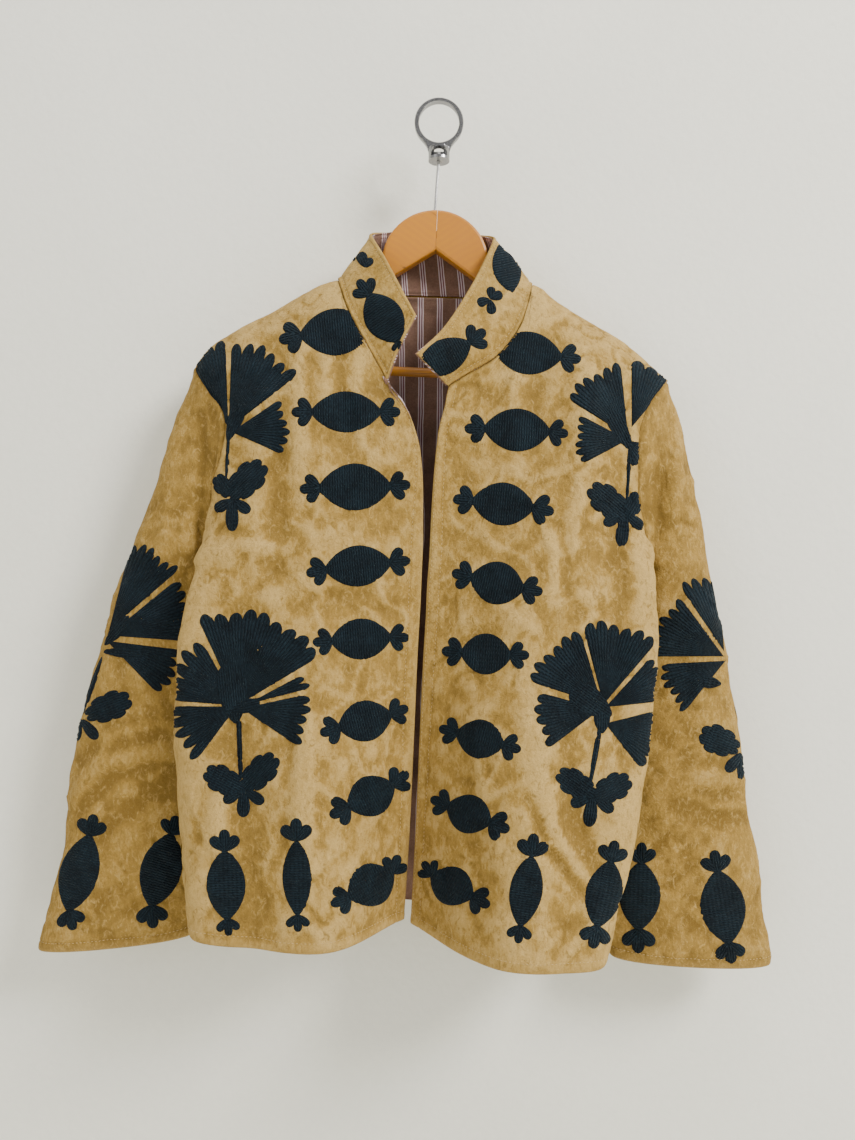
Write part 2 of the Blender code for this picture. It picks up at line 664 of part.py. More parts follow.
def grid_on(columns, rows, surface, flip=False, seams=""):
    """A grid laid on a surface at its columns and rows. Each vert keeps its share of the wall."""
    bm = bmesh.new()
    column = bm.verts.layers.int.new("column")
    row = bm.verts.layers.int.new("row")
    wall_share = bm.verts.layers.deform.verify()
    wide, high = len(columns) - 1, len(rows) - 1
    bmesh.ops.create_grid(bm, x_segments=wide, y_segments=high, size=0.5)
    for vert in bm.verts:
        vert[column] = round((vert.co.x + 0.5) * wide)
        vert[row] = round((vert.co.y + 0.5) * high)
    i = np.array([vert[column] for vert in bm.verts])
    j = np.array([vert[row] for vert in bm.verts])
    points = surface(columns[i], rows[j]) * MM
    for vert, point in zip(bm.verts, points):
        vert.co = Vector(point)
        sides = {"left": vert[column] == 0, "right": vert[column] == wide,
                 "foot": vert[row] == 0, "top": vert[row] == high}
        sewn = any(sides[name] for name in seams.split())
        vert[wall_share][0] = SEAM_WALL_SHARE if sewn else 1.0
    if flip:
        bmesh.ops.reverse_faces(bm, faces=bm.faces)
    bm.normal_update()
    return bm


def layer_under(bm, depth, margin):
    """A copy of a laid grid moved in by depth, its edges drawn back by a share of a cell."""
    inner = bm.copy()
    column = inner.verts.layers.int["column"]
    row = inner.verts.layers.int["row"]
    spots = {(vert[column], vert[row]): vert for vert in inner.verts}
    wide, high = max(i for i, j in spots), max(j for i, j in spots)
    moved = {spot: vert.co - vert.normal * depth * MM for spot, vert in spots.items()}
    for (i, j), vert in spots.items():
        near = (min(max(i, 1), wide - 1), min(max(j, 1), high - 1))
        vert.co = moved[(i, j)].lerp(moved[near], margin)
    inner.normal_update()
    return inner


def solid_from(bm, name, wall, material, collection):
    """A mesh object from a laid grid, with a wall grown inwards."""
    mesh = bpy.data.meshes.new(name)
    bm.to_mesh(mesh)
    bm.free()
    mesh.shade_smooth()
    item = place(mesh, name, material, collection)
    shell = item.modifiers.new("wall", "SOLIDIFY")
    shell.thickness = wall * MM
    shell.offset = -1.0
    item.vertex_groups.new(name="wall_share")
    shell.vertex_group = "wall_share"
    return item


def cloth_sheet(name, columns, rows, surface, wall, material, collection, **laid):
    """A panel: a grid laid on its surface, with its wall grown inwards."""
    bm = grid_on(columns, rows, surface, **laid)
    return solid_from(bm, name, wall, material, collection)


def lined_sheet(names, columns, rows, surface, walls, materials, collection, margin, **laid):
    """A panel and the lining that lies against its inner face."""
    outer = grid_on(columns, rows, surface, **laid)
    inner = layer_under(outer, walls[0] + LAYER_GAP, margin)
    solid_from(outer, names[0], walls[0], materials[0], collection)
    solid_from(inner, names[1], walls[1], materials[1], collection)


def sleeve_tube(side, material, collection):
    """A sleeve as an open tube: a cylinder's wall laid on its surface."""
    around, along = 2 * (len(ARMHOLE_STEPS[0]) - 1), len(SLEEVE_ROWS) - 1
    bm = bmesh.new()
    wall_share = bm.verts.layers.deform.verify()
    bmesh.ops.create_cone(bm, cap_ends=False, segments=around, radius1=1, radius2=1, depth=1)
    ups = [e for e in bm.edges if abs(e.verts[0].co.z - e.verts[1].co.z) > 0.5]
    bmesh.ops.subdivide_edges(bm, edges=ups, cuts=along - 1)
    turn = np.array([math.atan2(p.co.y, p.co.x) / (2 * math.pi) for p in bm.verts])
    down = np.round(np.array([(0.5 - p.co.z) * along for p in bm.verts])).astype(int)
    points = sleeve_surface(side, turn, SLEEVE_ROWS[np.clip(down, 0, along)]) * MM
    for vert, point, row in zip(bm.verts, points, down):
        vert.co = Vector(point)
        vert[wall_share][0] = SEAM_WALL_SHARE if row < 1 else 1.0
    if side == "right":
        bmesh.ops.reverse_faces(bm, faces=bm.faces)
    bm.normal_update()
    return solid_from(bm, f"sleeve_{side}", SLEEVE_WALL, material, collection)


def pocket_facing(collection, material):
    """The striped strip that stands out of the left side seam where the pocket opens."""

    def surface(u, v):
        level = POCKET_LOW_Z + (POCKET_HIGH_Z - POCKET_LOW_Z) * v
        root = back_point(np.full(len(u), 0.035), level)
        edge = back_point(np.full(len(u), 0.004), level)
        normal = -normals_of(back_point, np.full(len(u), 0.035), level)
        out = edge - root
        out /= np.linalg.norm(out, axis=1)[:, None]
        reach = POCKET_ROOT + POCKET_PEEK * np.sin(math.pi * v) ** 0.6
        return root + normal * (POCKET_LIFT + LINING_WALL) + out * (reach * u)[:, None]

    cloth_sheet("pocket_facing_left", runs((0, 1, 4)), runs((0, 1, 10)), surface, LINING_WALL,
                material, collection, flip=True)


def plate_from_outlines(name, outlines, thick, material, collection):
    """A flat plate in the XZ plane from its outline and any hole, as a mesh."""
    curve = bpy.data.curves.new(name, "CURVE")
    curve.dimensions = "2D"
    curve.fill_mode = "BOTH"
    curve.extrude = thick / 2 * MM
    for outline in outlines:
        line = curve.splines.new("POLY")
        line.points.add(len(outline) - 1)
        for point, (x, z) in zip(line.points, outline):
            point.co = (x * MM, z * MM, 0.0, 1.0)
        line.use_cyclic_u = True
    guide = bpy.data.objects.new(name, curve)
    collection.objects.link(guide)
    mesh = bpy.data.meshes.new_from_object(guide.evaluated_get(bpy.context.evaluated_depsgraph_get()))
    bpy.data.objects.remove(guide, do_unlink=True)
    mesh.name = name
    mesh.materials.clear()
    bm = bmesh.new()
    bm.from_mesh(mesh)
    bmesh.ops.remove_doubles(bm, verts=bm.verts, dist=0.00002)
    bmesh.ops.dissolve_limit(bm, angle_limit=0.01, verts=bm.verts, edges=bm.edges)
    bmesh.ops.rotate(bm, verts=bm.verts, matrix=Matrix.Rotation(math.pi / 2, 3, "X"))
    bmesh.ops.recalc_face_normals(bm, faces=bm.faces)
    bm.to_mesh(mesh)
    bm.free()
    return place(mesh, name, material, collection)


def round_edges(item, width, segments):
    bevel = item.modifiers.new("round_edges", "BEVEL")
    bevel.width = width * MM
    bevel.segments = segments
    bevel.limit_method = "ANGLE"
    bevel.angle_limit = math.radians(50)
    bevel.use_clamp_overlap = True


def keep_mitre_sharp(arm):
    """Rounds every hard edge of an arm but those where the two arms meet."""
    middle = tilted([(ARCH_CENTRE_X, -97.0), (ARCH_CENTRE_X, -134.0)]) * MM
    along = middle[1] - middle[0]
    bm = bmesh.new()
    bm.from_mesh(arm.data)
    weight = bm.edges.layers.float.new("bevel_weight_edge")
    for edge in bm.edges:
        hard = edge.calc_face_angle(0.0) > math.radians(50)
        off = [abs(along[0] * (v.co.z - middle[0][1]) - along[1] * (v.co.x - middle[0][0])) for v in edge.verts]
        at_mitre = max(off) / np.linalg.norm(along) < MITRE_GAP * MM
        edge[weight] = 1.0 if hard and not at_mitre else 0.0
    bm.to_mesh(arm.data)
    bm.free()
    arm.modifiers["round_edges"].limit_method = "WEIGHT"


def rod(name, start, end, radius, segments, material, collection):
    """A straight round rod between two points, in millimetres."""
    start, end = Vector(start) * MM, Vector(end) * MM
    mesh = bpy.data.meshes.new(name)
    bm = bmesh.new()
    bmesh.ops.create_cone(bm, cap_ends=True, segments=segments, radius1=radius * MM,
                          radius2=radius * MM, depth=(end - start).length)
    turn = (end - start).to_track_quat("Z", "Y").to_matrix().to_4x4()
    bmesh.ops.transform(bm, verts=bm.verts, matrix=Matrix.Translation((start + end) / 2) @ turn)
    bm.to_mesh(mesh)
    bm.free()
    mesh.shade_smooth()
    mesh.set_sharp_from_angle(angle=math.radians(40))
    return place(mesh, name, material, collection)


def use_cutter(item, cutter, operation="DIFFERENCE"):
    cutter.hide_render = True
    cutter.display_type = "WIRE"
    cut = item.modifiers.new(cutter.name, "BOOLEAN")
    cut.operation = operation
    cut.solver = "EXACT"
    cut.object = cutter


def tilted(points):
    """Points of the hanger's own frame turned about the arch's centre, its right end down."""
    turn = math.radians(WOOD_TILT)
    centre = np.array([ARCH_CENTRE_X, ARCH_CENTRE_Z])
    away = np.asarray(points, float) - centre
    x = away[:, 0] * math.cos(turn) + away[:, 1] * math.sin(turn)
    z = -away[:, 0] * math.sin(turn) + away[:, 1] * math.cos(turn)
    return np.stack([x, z], axis=1) + centre


def arm_outline(side):
    """One arm of the hanger, from the top of the mitre over the arch to the tip and back."""
    sign = -1.0 if side == "left" else 1.0
    start = math.acos(MITRE_GAP / 2 / ARCH_RADIUS)
    arch = [
        (ARCH_RADIUS * math.cos(angle), ARCH_CENTRE_Z + ARCH_RADIUS * math.sin(angle))
        for angle in np.linspace(start, math.radians(12), 16)
    ]
    top = [(out, float(ARM_TOP.at("z", out))) for out in np.linspace(48.2, 190, 17)]
    foot = [(out, float(ARM_FOOT.at("z", out))) for out in np.linspace(180, 33, 9)]
    apex = [(MITRE_GAP / 2, float(ARM_FOOT.at("z", MITRE_GAP / 2)))]
    points = np.array([*arch, *top, *ARM_TIP, *foot, *apex])
    points[:, 0] = ARCH_CENTRE_X + sign * points[:, 0]
    return tilted(points)


def build_hanger(coat, cutters, woods, steel):
    head = np.array([0.0, STEM_HEAD_Z])
    foot = np.array(STEM_FOOT)
    down = (foot - head) / np.linalg.norm(foot - head)
    end = foot + down * STEM_IN_WOOD
    bore = rod("stem_bore", (*(foot - down * 8)[:1], 0, (foot - down * 8)[1]),
               (end[0] + down[0], 0, end[1] + down[1]), STEM_RADIUS + STEM_CLEARANCE, 20, steel, cutters)
    bar_ends = tilted([(ARCH_CENTRE_X - BAR_HALF, BAR_Z), (ARCH_CENTRE_X + BAR_HALF, BAR_Z)])
    bore_ends = tilted([(ARCH_CENTRE_X - BAR_BORE_END, BAR_Z), (ARCH_CENTRE_X + BAR_BORE_END, BAR_Z)])
    bar_bore = rod("bar_bore", (bore_ends[0][0], 0, bore_ends[0][1]),
                   (bore_ends[1][0], 0, bore_ends[1][1]), BAR_BORE_RADIUS, 20, steel, cutters)
    for side, wood in zip(("left", "right"), woods):
        arm = plate_from_outlines(f"hanger_arm_{side}", [arm_outline(side)], WOOD_THICK, wood, coat)
        round_edges(arm, WOOD_EDGE_ROUND, 2)
        keep_mitre_sharp(arm)
        use_cutter(arm, bore)
        use_cutter(arm, bar_bore)
    bar = rod("hanger_bar", (bar_ends[0][0], 0, bar_ends[0][1]), (bar_ends[1][0], 0, bar_ends[1][1]),
              BAR_RADIUS, 20, woods[1], coat)
    round_edges(bar, 0.4, 1)

    angles = np.radians(np.linspace(-48, 228, 44))
    ring = [(RING_OUTER_R * math.cos(a), RING_OUTER_R * math.sin(a)) for a in angles]
    ring += [(-x, z) for x, z in RING_FLARE[1:]] + [(x, z) for x, z in RING_FLARE[:0:-1]]
    hole = [(RING_INNER_R * math.cos(a), RING_INNER_R * math.sin(a))
            for a in np.linspace(0, 2 * math.pi, 48, endpoint=False)]
    outlines = [[(x, z - RING_INNER_R) for x, z in line] for line in (ring, hole)]
    plate = plate_from_outlines("hanger_ring", outlines, RING_THICK, steel, coat)
    round_edges(plate, RING_CHAMFER, 1)
    socket = rod("socket", (0, 0, SOCKET_BOTTOM_Z), (0, 0, SOCKET_TOP_Z), SOCKET_RADIUS, 36, steel, cutters)
    use_cutter(plate, socket, "UNION")
    arch = [(WINDOW_RADIUS * math.cos(a), WINDOW_ARCH_Z + WINDOW_RADIUS * math.sin(a))
            for a in np.linspace(0, math.pi, 17)]
    arch += [(-WINDOW_RADIUS, WINDOW_FLOOR_Z), (WINDOW_RADIUS, WINDOW_FLOOR_Z)]
    window = plate_from_outlines("socket_window", [arch], 30.0, steel, cutters)
    window.location.y = (WINDOW_BACK_Y - 15.0) * MM
    use_cutter(plate, window)
    hole_top = head + down * 1.0
    hole_end = head + down * 12.0
    drop = rod("stem_hole", (hole_top[0], 0, hole_top[1]), (hole_end[0], 0, hole_end[1]),
               STEM_RADIUS + STEM_CLEARANCE, 20, steel, cutters)
    use_cutter(plate, drop)

    stem = rod("hanger_stem", (head[0], 0, head[1]), (end[0], 0, end[1]), STEM_RADIUS, 16, steel, coat)
    mesh = bpy.data.meshes.new("stem_head")
    bm = bmesh.new()
    bmesh.ops.create_uvsphere(bm, u_segments=16, v_segments=10, radius=STEM_HEAD_RADIUS * MM,
                              matrix=Matrix.Translation((head[0] * MM, 0, head[1] * MM)))
    bm.to_mesh(mesh)
    bm.free()
    mesh.shade_smooth()
    use_cutter(stem, place(mesh, "stem_head", steel, cutters), "UNION")


def build_cloth(coat, velvet, stripes):
    both = (velvet, stripes)
    neck = runs((0, NECK_SHARE, NECK_STEPS))
    front = np.concatenate([neck, runs((NECK_SHARE, 0.72, 4), (0.72, 0.985, 7), (0.985, 1, 1))[1:]])
    shoulder = (front[NECK_STEPS:] - NECK_SHARE) / (1 - NECK_SHARE)
    back = np.concatenate([
        (1 - shoulder[::-1]) * BACK_NECK_LEFT,
        runs((BACK_NECK_LEFT, BACK_NECK_RIGHT, NECK_STEPS))[1:-1],
        BACK_NECK_RIGHT + (1 - BACK_NECK_RIGHT) * shoulder,
    ])
    armhole = ARMHOLE_SHARE + (1 - ARMHOLE_SHARE) * ARMHOLE_STEPS[1]
    rows = np.concatenate([runs((0, 0.012, 1), (0.012, ARMHOLE_SHARE, 8)), armhole[1:]])
    cloth_sheet("front_left", front, rows, lambda u, v: front_surface("left", u, v), FRONT_WALL,
                velvet, coat, flip=True, seams="right top")
    cloth_sheet("front_right", front, rows, lambda u, v: front_surface("right", u, v), FRONT_WALL,
                velvet, coat, seams="right top")
    lined_sheet(("back", "back_lining"), back, rows, back_surface, (BACK_WALL, LINING_WALL),
                both, coat, 0.2, flip=True, seams="left right top")
    sleeve_tube("left", velvet, coat)
    sleeve_tube("right", velvet, coat)
    lined_sheet(("collar", "collar_lining"), runs((0, 1, 3 * NECK_STEPS)), runs((0, 0.03, 1), (0.03, 1, 4)),
                collar_surface, (COLLAR_WALL, COLLAR_LINING_WALL), both, coat, 0.1, flip=True, seams="foot")
    pocket_facing(coat, stripes)


def main():
    coat, cutters = clear_scene()
    velvet = finish_material("mustard_velvet", (0.55, 0.40, 0.18), 0.85)
    stripes = finish_material("striped_cotton", (0.25, 0.14, 0.10), 0.9)
    wood_left = finish_material("wood_left", (0.55, 0.27, 0.07), 0.35)
    wood_right = finish_material("wood_right", (0.50, 0.24, 0.06), 0.35)
    steel = finish_material("steel", (0.62, 0.61, 0.60), 0.25, 1.0)
    build_cloth(coat, velvet, stripes)
    build_hanger(coat, cutters, (wood_left, wood_right), steel)


main()
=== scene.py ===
"""Looks of a short embroidered velvet coat on a wooden hanger.

The cloth is laid on the same surfaces as the solids, with finer creases, hems, linings and stitching.
+X is the viewer's right, -Y the front of the coat, +Z up. Tables are in millimetres.
"""

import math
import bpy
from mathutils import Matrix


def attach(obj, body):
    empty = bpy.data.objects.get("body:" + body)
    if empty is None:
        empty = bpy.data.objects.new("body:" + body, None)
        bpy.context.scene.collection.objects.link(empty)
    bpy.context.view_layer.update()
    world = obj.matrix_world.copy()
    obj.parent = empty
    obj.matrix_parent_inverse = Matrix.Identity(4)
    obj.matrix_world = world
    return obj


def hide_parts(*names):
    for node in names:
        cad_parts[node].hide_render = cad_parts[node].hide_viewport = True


bl_info = {
    "name": "Embroidered velvet coat",
    "version": (1, 0, 0),
    "blender": (4, 5, 0),
    "location": "3D View > Sidebar > Coat",
    "description": "Dresses a velvet coat on its hanger with cloth, lining, embroidery and stitching",
    "category": "Add Mesh",
}

import bmesh
import bpy
import numpy as np
from bpy.props import FloatProperty, FloatVectorProperty, PointerProperty
from mathutils import Matrix, Vector, noise
from mathutils.bvhtree import BVHTree

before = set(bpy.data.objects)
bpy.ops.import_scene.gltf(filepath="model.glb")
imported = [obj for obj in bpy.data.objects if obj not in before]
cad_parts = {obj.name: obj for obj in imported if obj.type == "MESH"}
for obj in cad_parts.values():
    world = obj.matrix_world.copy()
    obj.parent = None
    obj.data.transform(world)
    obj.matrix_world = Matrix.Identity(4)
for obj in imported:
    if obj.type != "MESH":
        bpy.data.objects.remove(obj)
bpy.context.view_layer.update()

MM = 0.001

# Driving sizes of the cloth, in millimetres
FRONT_WALL = 2.2
SLEEVE_WALL = 2.2
BACK_WALL = 1.7
LINING_WALL = 1.0
COLLAR_WALL = 2.0
COLLAR_BOW = 2.5
COLLAR_LINING_WALL = 1.0
# Shares of a panel's width and height where its neckline and its armhole end
NECK_SHARE = 0.24
ARMHOLE_SHARE = 0.6
# Even steps up the armhole against their share of its height, closer near the underarm and the tip
ARMHOLE_STEPS = (np.linspace(0, 1, 13), np.append(0.985 * np.linspace(0, 1, 12) ** 1.25, 1.0))
LAYER_GAP = 0.8
BACK_PLANE_Y = 27.0
POCKET_LOW_Z = -640.0
POCKET_HIGH_Z = -566.0
POCKET_ROOT = 12.0
POCKET_PEEK = 8.0
POCKET_LIFT = 0.3

# The rounded top of the shoulder, over the hanger
RIDGE_RADIUS = 26.0
RIDGE_SLOPE = 1.1
RIDGE_REACH = 50.0
SHOULDER_SEAM_AHEAD = 6.0

# Levels where the hem takes its places and where the tables end, and the way round each panel
HEM_LEVEL = -730.0
TOP_LEVEL = -130.0
FRONT_GIRTH = 260.0
BACK_GIRTH = 480.0
# Shares of a panel's height and width over which its folds fade out at the seams
FRONT_FADE = (0.09, 0.08)
BACK_FADE = (0.12, 0.2)
NECK_MIDDLE = (-4.0, -10.0, 0.0)


class Table:
    """Rows of numbers under named columns, read smoothly between rows."""

    def __init__(self, columns, rows):
        self.names = columns.split()
        self.rows = np.array(rows, float)

    def column(self, name):
        return self.rows[:, self.names.index(name)]

    def at(self, name, key):
        """The named column at each key, on a curve that never overshoots its rows."""
        xs, ys = self.rows[:, 0], self.column(name)
        key = np.clip(np.asarray(key, float), xs[0], xs[-1])
        step, rise = np.diff(xs), np.diff(ys) / np.diff(xs)
        slope = np.concatenate([[rise[0]], np.zeros(len(xs) - 2), [rise[-1]]])
        same = rise[:-1] * rise[1:] > 0
        total = np.where(same, rise[:-1] + rise[1:], 1.0)
        slope[1:-1] = np.where(same, 2 * rise[:-1] * rise[1:] / total, 0.0)
        i = np.clip(np.searchsorted(xs, key, side="right") - 1, 0, len(xs) - 2)
        t = (key - xs[i]) / step[i]
        hermite = (2 * t**3 - 3 * t**2 + 1) * ys[i] + (t**3 - 2 * t**2 + t) * step[i] * slope[i]
        return hermite + (3 * t**2 - 2 * t**3) * ys[i + 1] + (t**3 - t**2) * step[i] * slope[i + 1]


# Height against the front opening edge, the point where the front turns to face ahead,
# the outermost side, the fold behind it, and the side seam, which is the armhole's front above the underarm
FRONT_COLUMNS = "z edge_x edge_y turn_x turn_y side_x side_y fold_x fold_y seam_x seam_y"
LEFT_FRONT = Table(FRONT_COLUMNS, (
    (-735, -31, -25, -92, -92, -203, -74, -207, -57, -207, -42),
    (-640, -25, -33, -94, -85, -214, -63, -218, -53, -214, -43),
    (-550, -21, -40, -99, -78, -222, -56, -225, -47, -218, -40),
    (-480, -18, -45, -106, -72, -217, -56, -216, -44, -192, -37),
    (-446, -16, -47, -112, -68, -212, -54, -210, -43, -184, -37),
    (-420, -15, -49, -115, -67, -206, -51, -201, -40, -174, -14),
    (-390, -14, -50, -118, -65, -198, -49, -202, -42, -196, -30),
    (-350, -14, -50, -120, -62, -184, -48, -191, -45, -196, -40),
    (-320, -16, -49, -120, -59, -178, -48, -184, -46, -188, -42),
    (-295, -22, -47, -120, -57, -172, -47, -179, -45, -184, -41),
    (-275, -32, -45, -121, -55, -176, -44, -183, -41, -188, -37),
    (-259, -44, -41, -122, -54, -186, -40, -194, -36, -200, -31),
    (-235, -53, -39, -125, -52, -200, -36, -208, -31, -214, -26),
    (-210, -62, -38, -128, -50, -207, -34, -214, -30, -218, -24),
    (-130, -66, -36, -132, -48, -207, -34, -214, -30, -218, -24),
))
RIGHT_FRONT = Table(FRONT_COLUMNS, (
    (-750, -27, -25, 54, -106, 128, -86, 134, -66, 136, -48),
    (-640, -21, -33, 58, -96, 160, -68, 164, -56, 162, -45),
    (-550, -17, -40, 64, -86, 176, -58, 180, -48, 174, -40),
    (-490, -14, -45, 72, -77, 182, -56, 183, -44, 164, -37),
    (-458, -12, -47, 78, -74, 183, -53, 181, -44, 167, -37),
    (-434, -11, -49, 82, -71, 182, -51, 179, -40, 158, -14),
    (-408, -9, -50, 87, -68, 178, -49, 182, -42, 176, -28),
    (-386, -8, -50, 90, -66, 165, -50, 172, -46, 176, -40),
    (-350, -6, -51, 94, -63, 158, -50, 165, -47, 170, -43),
    (-300, -1, -50, 97, -58, 158, -48, 166, -45, 172, -41),
    (-280, 4, -48, 99, -56, 164, -45, 172, -42, 178, -38),
    (-260, 8, -45, 101, -54, 174, -40, 182, -36, 189, -31),
    (-238, 16, -42, 103, -52, 187, -36, 194, -31, 201, -26),
    (-215, 24, -40, 105, -50, 193, -34, 200, -30, 204, -24),
    (-130, 32, -38, 110, -48, 193, -34, 200, -30, 204, -24),
))

# The back's side: its seam with the front, or the armhole's back, the passage in front of
# the sleeve, the nook beside the sleeve, and where the back comes to lie in its plane
BACK_COLUMNS = "z seam_x seam_y run_x run_y nook_x nook_y plane_x"
LEFT_BACK = Table(BACK_COLUMNS, (
    (-735, -207, -42, -205, -22, -198, 2, -174), (-640, -214, -43, -198, -38, -181, -8, -162),
    (-550, -218, -40, -186, -38, -164, -8, -146), (-480, -192, -37, -172, -33, -154, -6, -138),
    (-446, -184, -37, -172, -29, -160, -6, -140), (-420, -174, -14, -166, -4, -157, 8, -142),
    (-350, -203, 15, -196, 19, -188, 23, -166), (-290, -208, 18, -202, 22, -194, 25, -170),
    (-210, -218, 14, -212, 19, -204, 23, -178), (-130, -218, 14, -212, 19, -204, 23, -178),
))
RIGHT_BACK = Table(BACK_COLUMNS, (
    (-750, 136, -48, 138, -24, 134, 2, 110), (-640, 162, -45, 148, -38, 129, -8, 110),
    (-550, 174, -40, 140, -38, 119, -8, 101), (-490, 164, -37, 146, -33, 130, -6, 112),
    (-458, 167, -37, 156, -29, 143, -6, 122), (-434, 158, -14, 150, -4, 142, 8, 126),
    (-360, 188, 15, 181, 19, 173, 23, 150), (-300, 193, 18, 187, 22, 179, 25, 156),
    (-210, 204, 14, 198, 19, 190, 23, 166), (-130, 204, 14, 198, 19, 190, 23, 166),
))

UNDERARM = {"left": -420.0, "right": -434.0}
RIDGE = Table("x z", (
    (-218, -238), (-196, -216), (-153, -192), (-91, -161), (-10, -150), (82, -165), (109, -183),
    (167, -219), (205, -252),
))
HEM = Table("x z", ((-210, -721), (-92, -726), (-29, -724), (-26, -727), (54, -735), (140, -741)))
BACK_HEM = Table("x z", ((-210, -721), (-60, -725), (140, -741)))
# The neckline down each front, as a share of its way from the neck point to the shoulder
LEFT_NECK = Table("share x z", ((0, -44, -259), (0.35, -61, -229), (0.7, -80, -192), (1, -90, -161)))
RIGHT_NECK = Table("share x z", (
    (0, 6, -264), (0.13, 20, -255), (0.42, 48, -238), (0.72, 70, -208), (1, 83, -165),
))
# How far down the back the neckline runs, measured over the ridge
BACK_NECK = Table("x over", ((-90, -6), (-80, 15), (-60, 29), (-5, 36), (54, 29), (74, 15), (83, -6)))

BACK_TIP_LEFT = -218.0
BACK_TIP_RIGHT = 204.0
BACK_NECK_LEFT = (BACK_NECK.rows[0, 0] - BACK_TIP_LEFT) / (BACK_TIP_RIGHT - BACK_TIP_LEFT)
BACK_NECK_RIGHT = (BACK_NECK.rows[-1, 0] - BACK_TIP_LEFT) / (BACK_TIP_RIGHT - BACK_TIP_LEFT)

# The sleeves from the armhole to the cuff: outermost point, innermost point, half depth
SLEEVE_COLUMNS = "row outer_x outer_z inner_x inner_z half_depth"
LEFT_SLEEVE = Table(SLEEVE_COLUMNS, (
    (0, -218, -240, -172, -420, 26), (1, -236, -280, -185, -432, 31),
    (2, -252, -338, -184, -446, 33), (3, -271, -392, -180, -466, 33),
    (4, -294, -458, -174, -502, 31), (5, -311, -520, -178, -548, 29),
    (6, -328, -595, -188, -607, 27), (7, -334, -660, -197, -664, 25),
    (8, -349, -716, -208, -710, 23), (9, -359, -759, -218, -745, 22),
))
RIGHT_SLEEVE = Table(SLEEVE_COLUMNS, (
    (0, 205, -252, 156, -434, 26), (1, 217, -294, 169, -446, 31), (2, 228, -346, 168, -460, 33),
    (3, 238, -404, 163, -480, 33), (4, 251, -470, 150, -518, 31), (5, 261, -527, 143, -562, 29),
    (6, 272, -600, 141, -615, 27), (7, 282, -654, 145, -668, 25), (8, 290, -712, 149, -716, 23),
    (9, 297, -772, 153, -765, 22),
))
SLEEVE_CENTRE_Y = -1.0
SLEEVE_EGG = 0.28
# How much each of the first rows keeps the armhole's own shape
SLEEVE_FOLLOWS = (1.0, 0.55, 0.22, 0.06)

# The collar's free edge against its share of the neckline, from the left front round the back
COLLAR_TOP = Table("share x y z", (
    (0, -20, -46, -204), (0.09, -33, -39, -178), (0.19, -48, -25, -146), (0.28, -61, -5, -119),
    (0.37, -47, 12, -112), (0.49, -3, 20, -108), (0.61, 36, 12, -114), (0.7, 49, -4, -122),
    (0.78, 36, -24, -156), (0.86, 19, -40, -190), (0.93, 2, -58, -219), (1, -19, -72, -243),
))

# Largest folds: ends in the front view, half width, height out of the cloth (negative sinks), bow sideways
FRONT_FOLDS = (
    (-143, -225, -138, -420, 13, -5.0, 3), (-118, -235, -116, -330, 12, 3.5, 0),
    (-82, -240, -78, -330, 10, -3.0, 0), (-205, -410, -130, -405, 9, 3.5, 6),
    (-110, -540, -112, -660, 10, 4.0, -3), (-170, -560, -150, -722, 16, -4.5, 4),
    (-178, -590, -184, -650, 9, 4.0, 0), (88, -225, 80, -330, 12, -4.0, -4),
    (122, -240, 108, -400, 13, 4.0, 5), (150, -300, 146, -520, 12, -4.0, 3),
    (64, -470, 78, -720, 16, 4.0, 8), (104, -560, 138, -690, 12, -5.0, -10),
    (26, -600, 30, -730, 16, -3.0, 0),
)
BACK_FOLDS = (
    (-150, -230, -120, -520, 18, 4.0, 8), (-90, -300, -84, -724, 24, -5.0, 6),
    (-36, -260, -40, -724, 24, 4.5, -5), (22, -320, 28, -730, 24, -5.0, 5),
    (86, -260, 70, -732, 22, 4.0, -6), (140, -240, 110, -480, 18, -4.0, -6),
)
SLEEVE_FOLDS = {
    "left": (
        (-325, -625, -290, -590, 9, 4.5, 3), (-292, -590, -215, -574, 9, 4.5, 3),
        (-305, -650, -235, -612, 13, -3.5, 4), (-262, -402, -205, -394, 11, 3.5, 3),
    ),
    "right": (
        (215, -262, 200, -370, 8, 4.5, 3), (285, -610, 205, -606, 11, 3.5, -4),
        (288, -640, 215, -628, 9, -3.5, 4), (250, -470, 196, -452, 12, 3.0, 3),
    ),
}


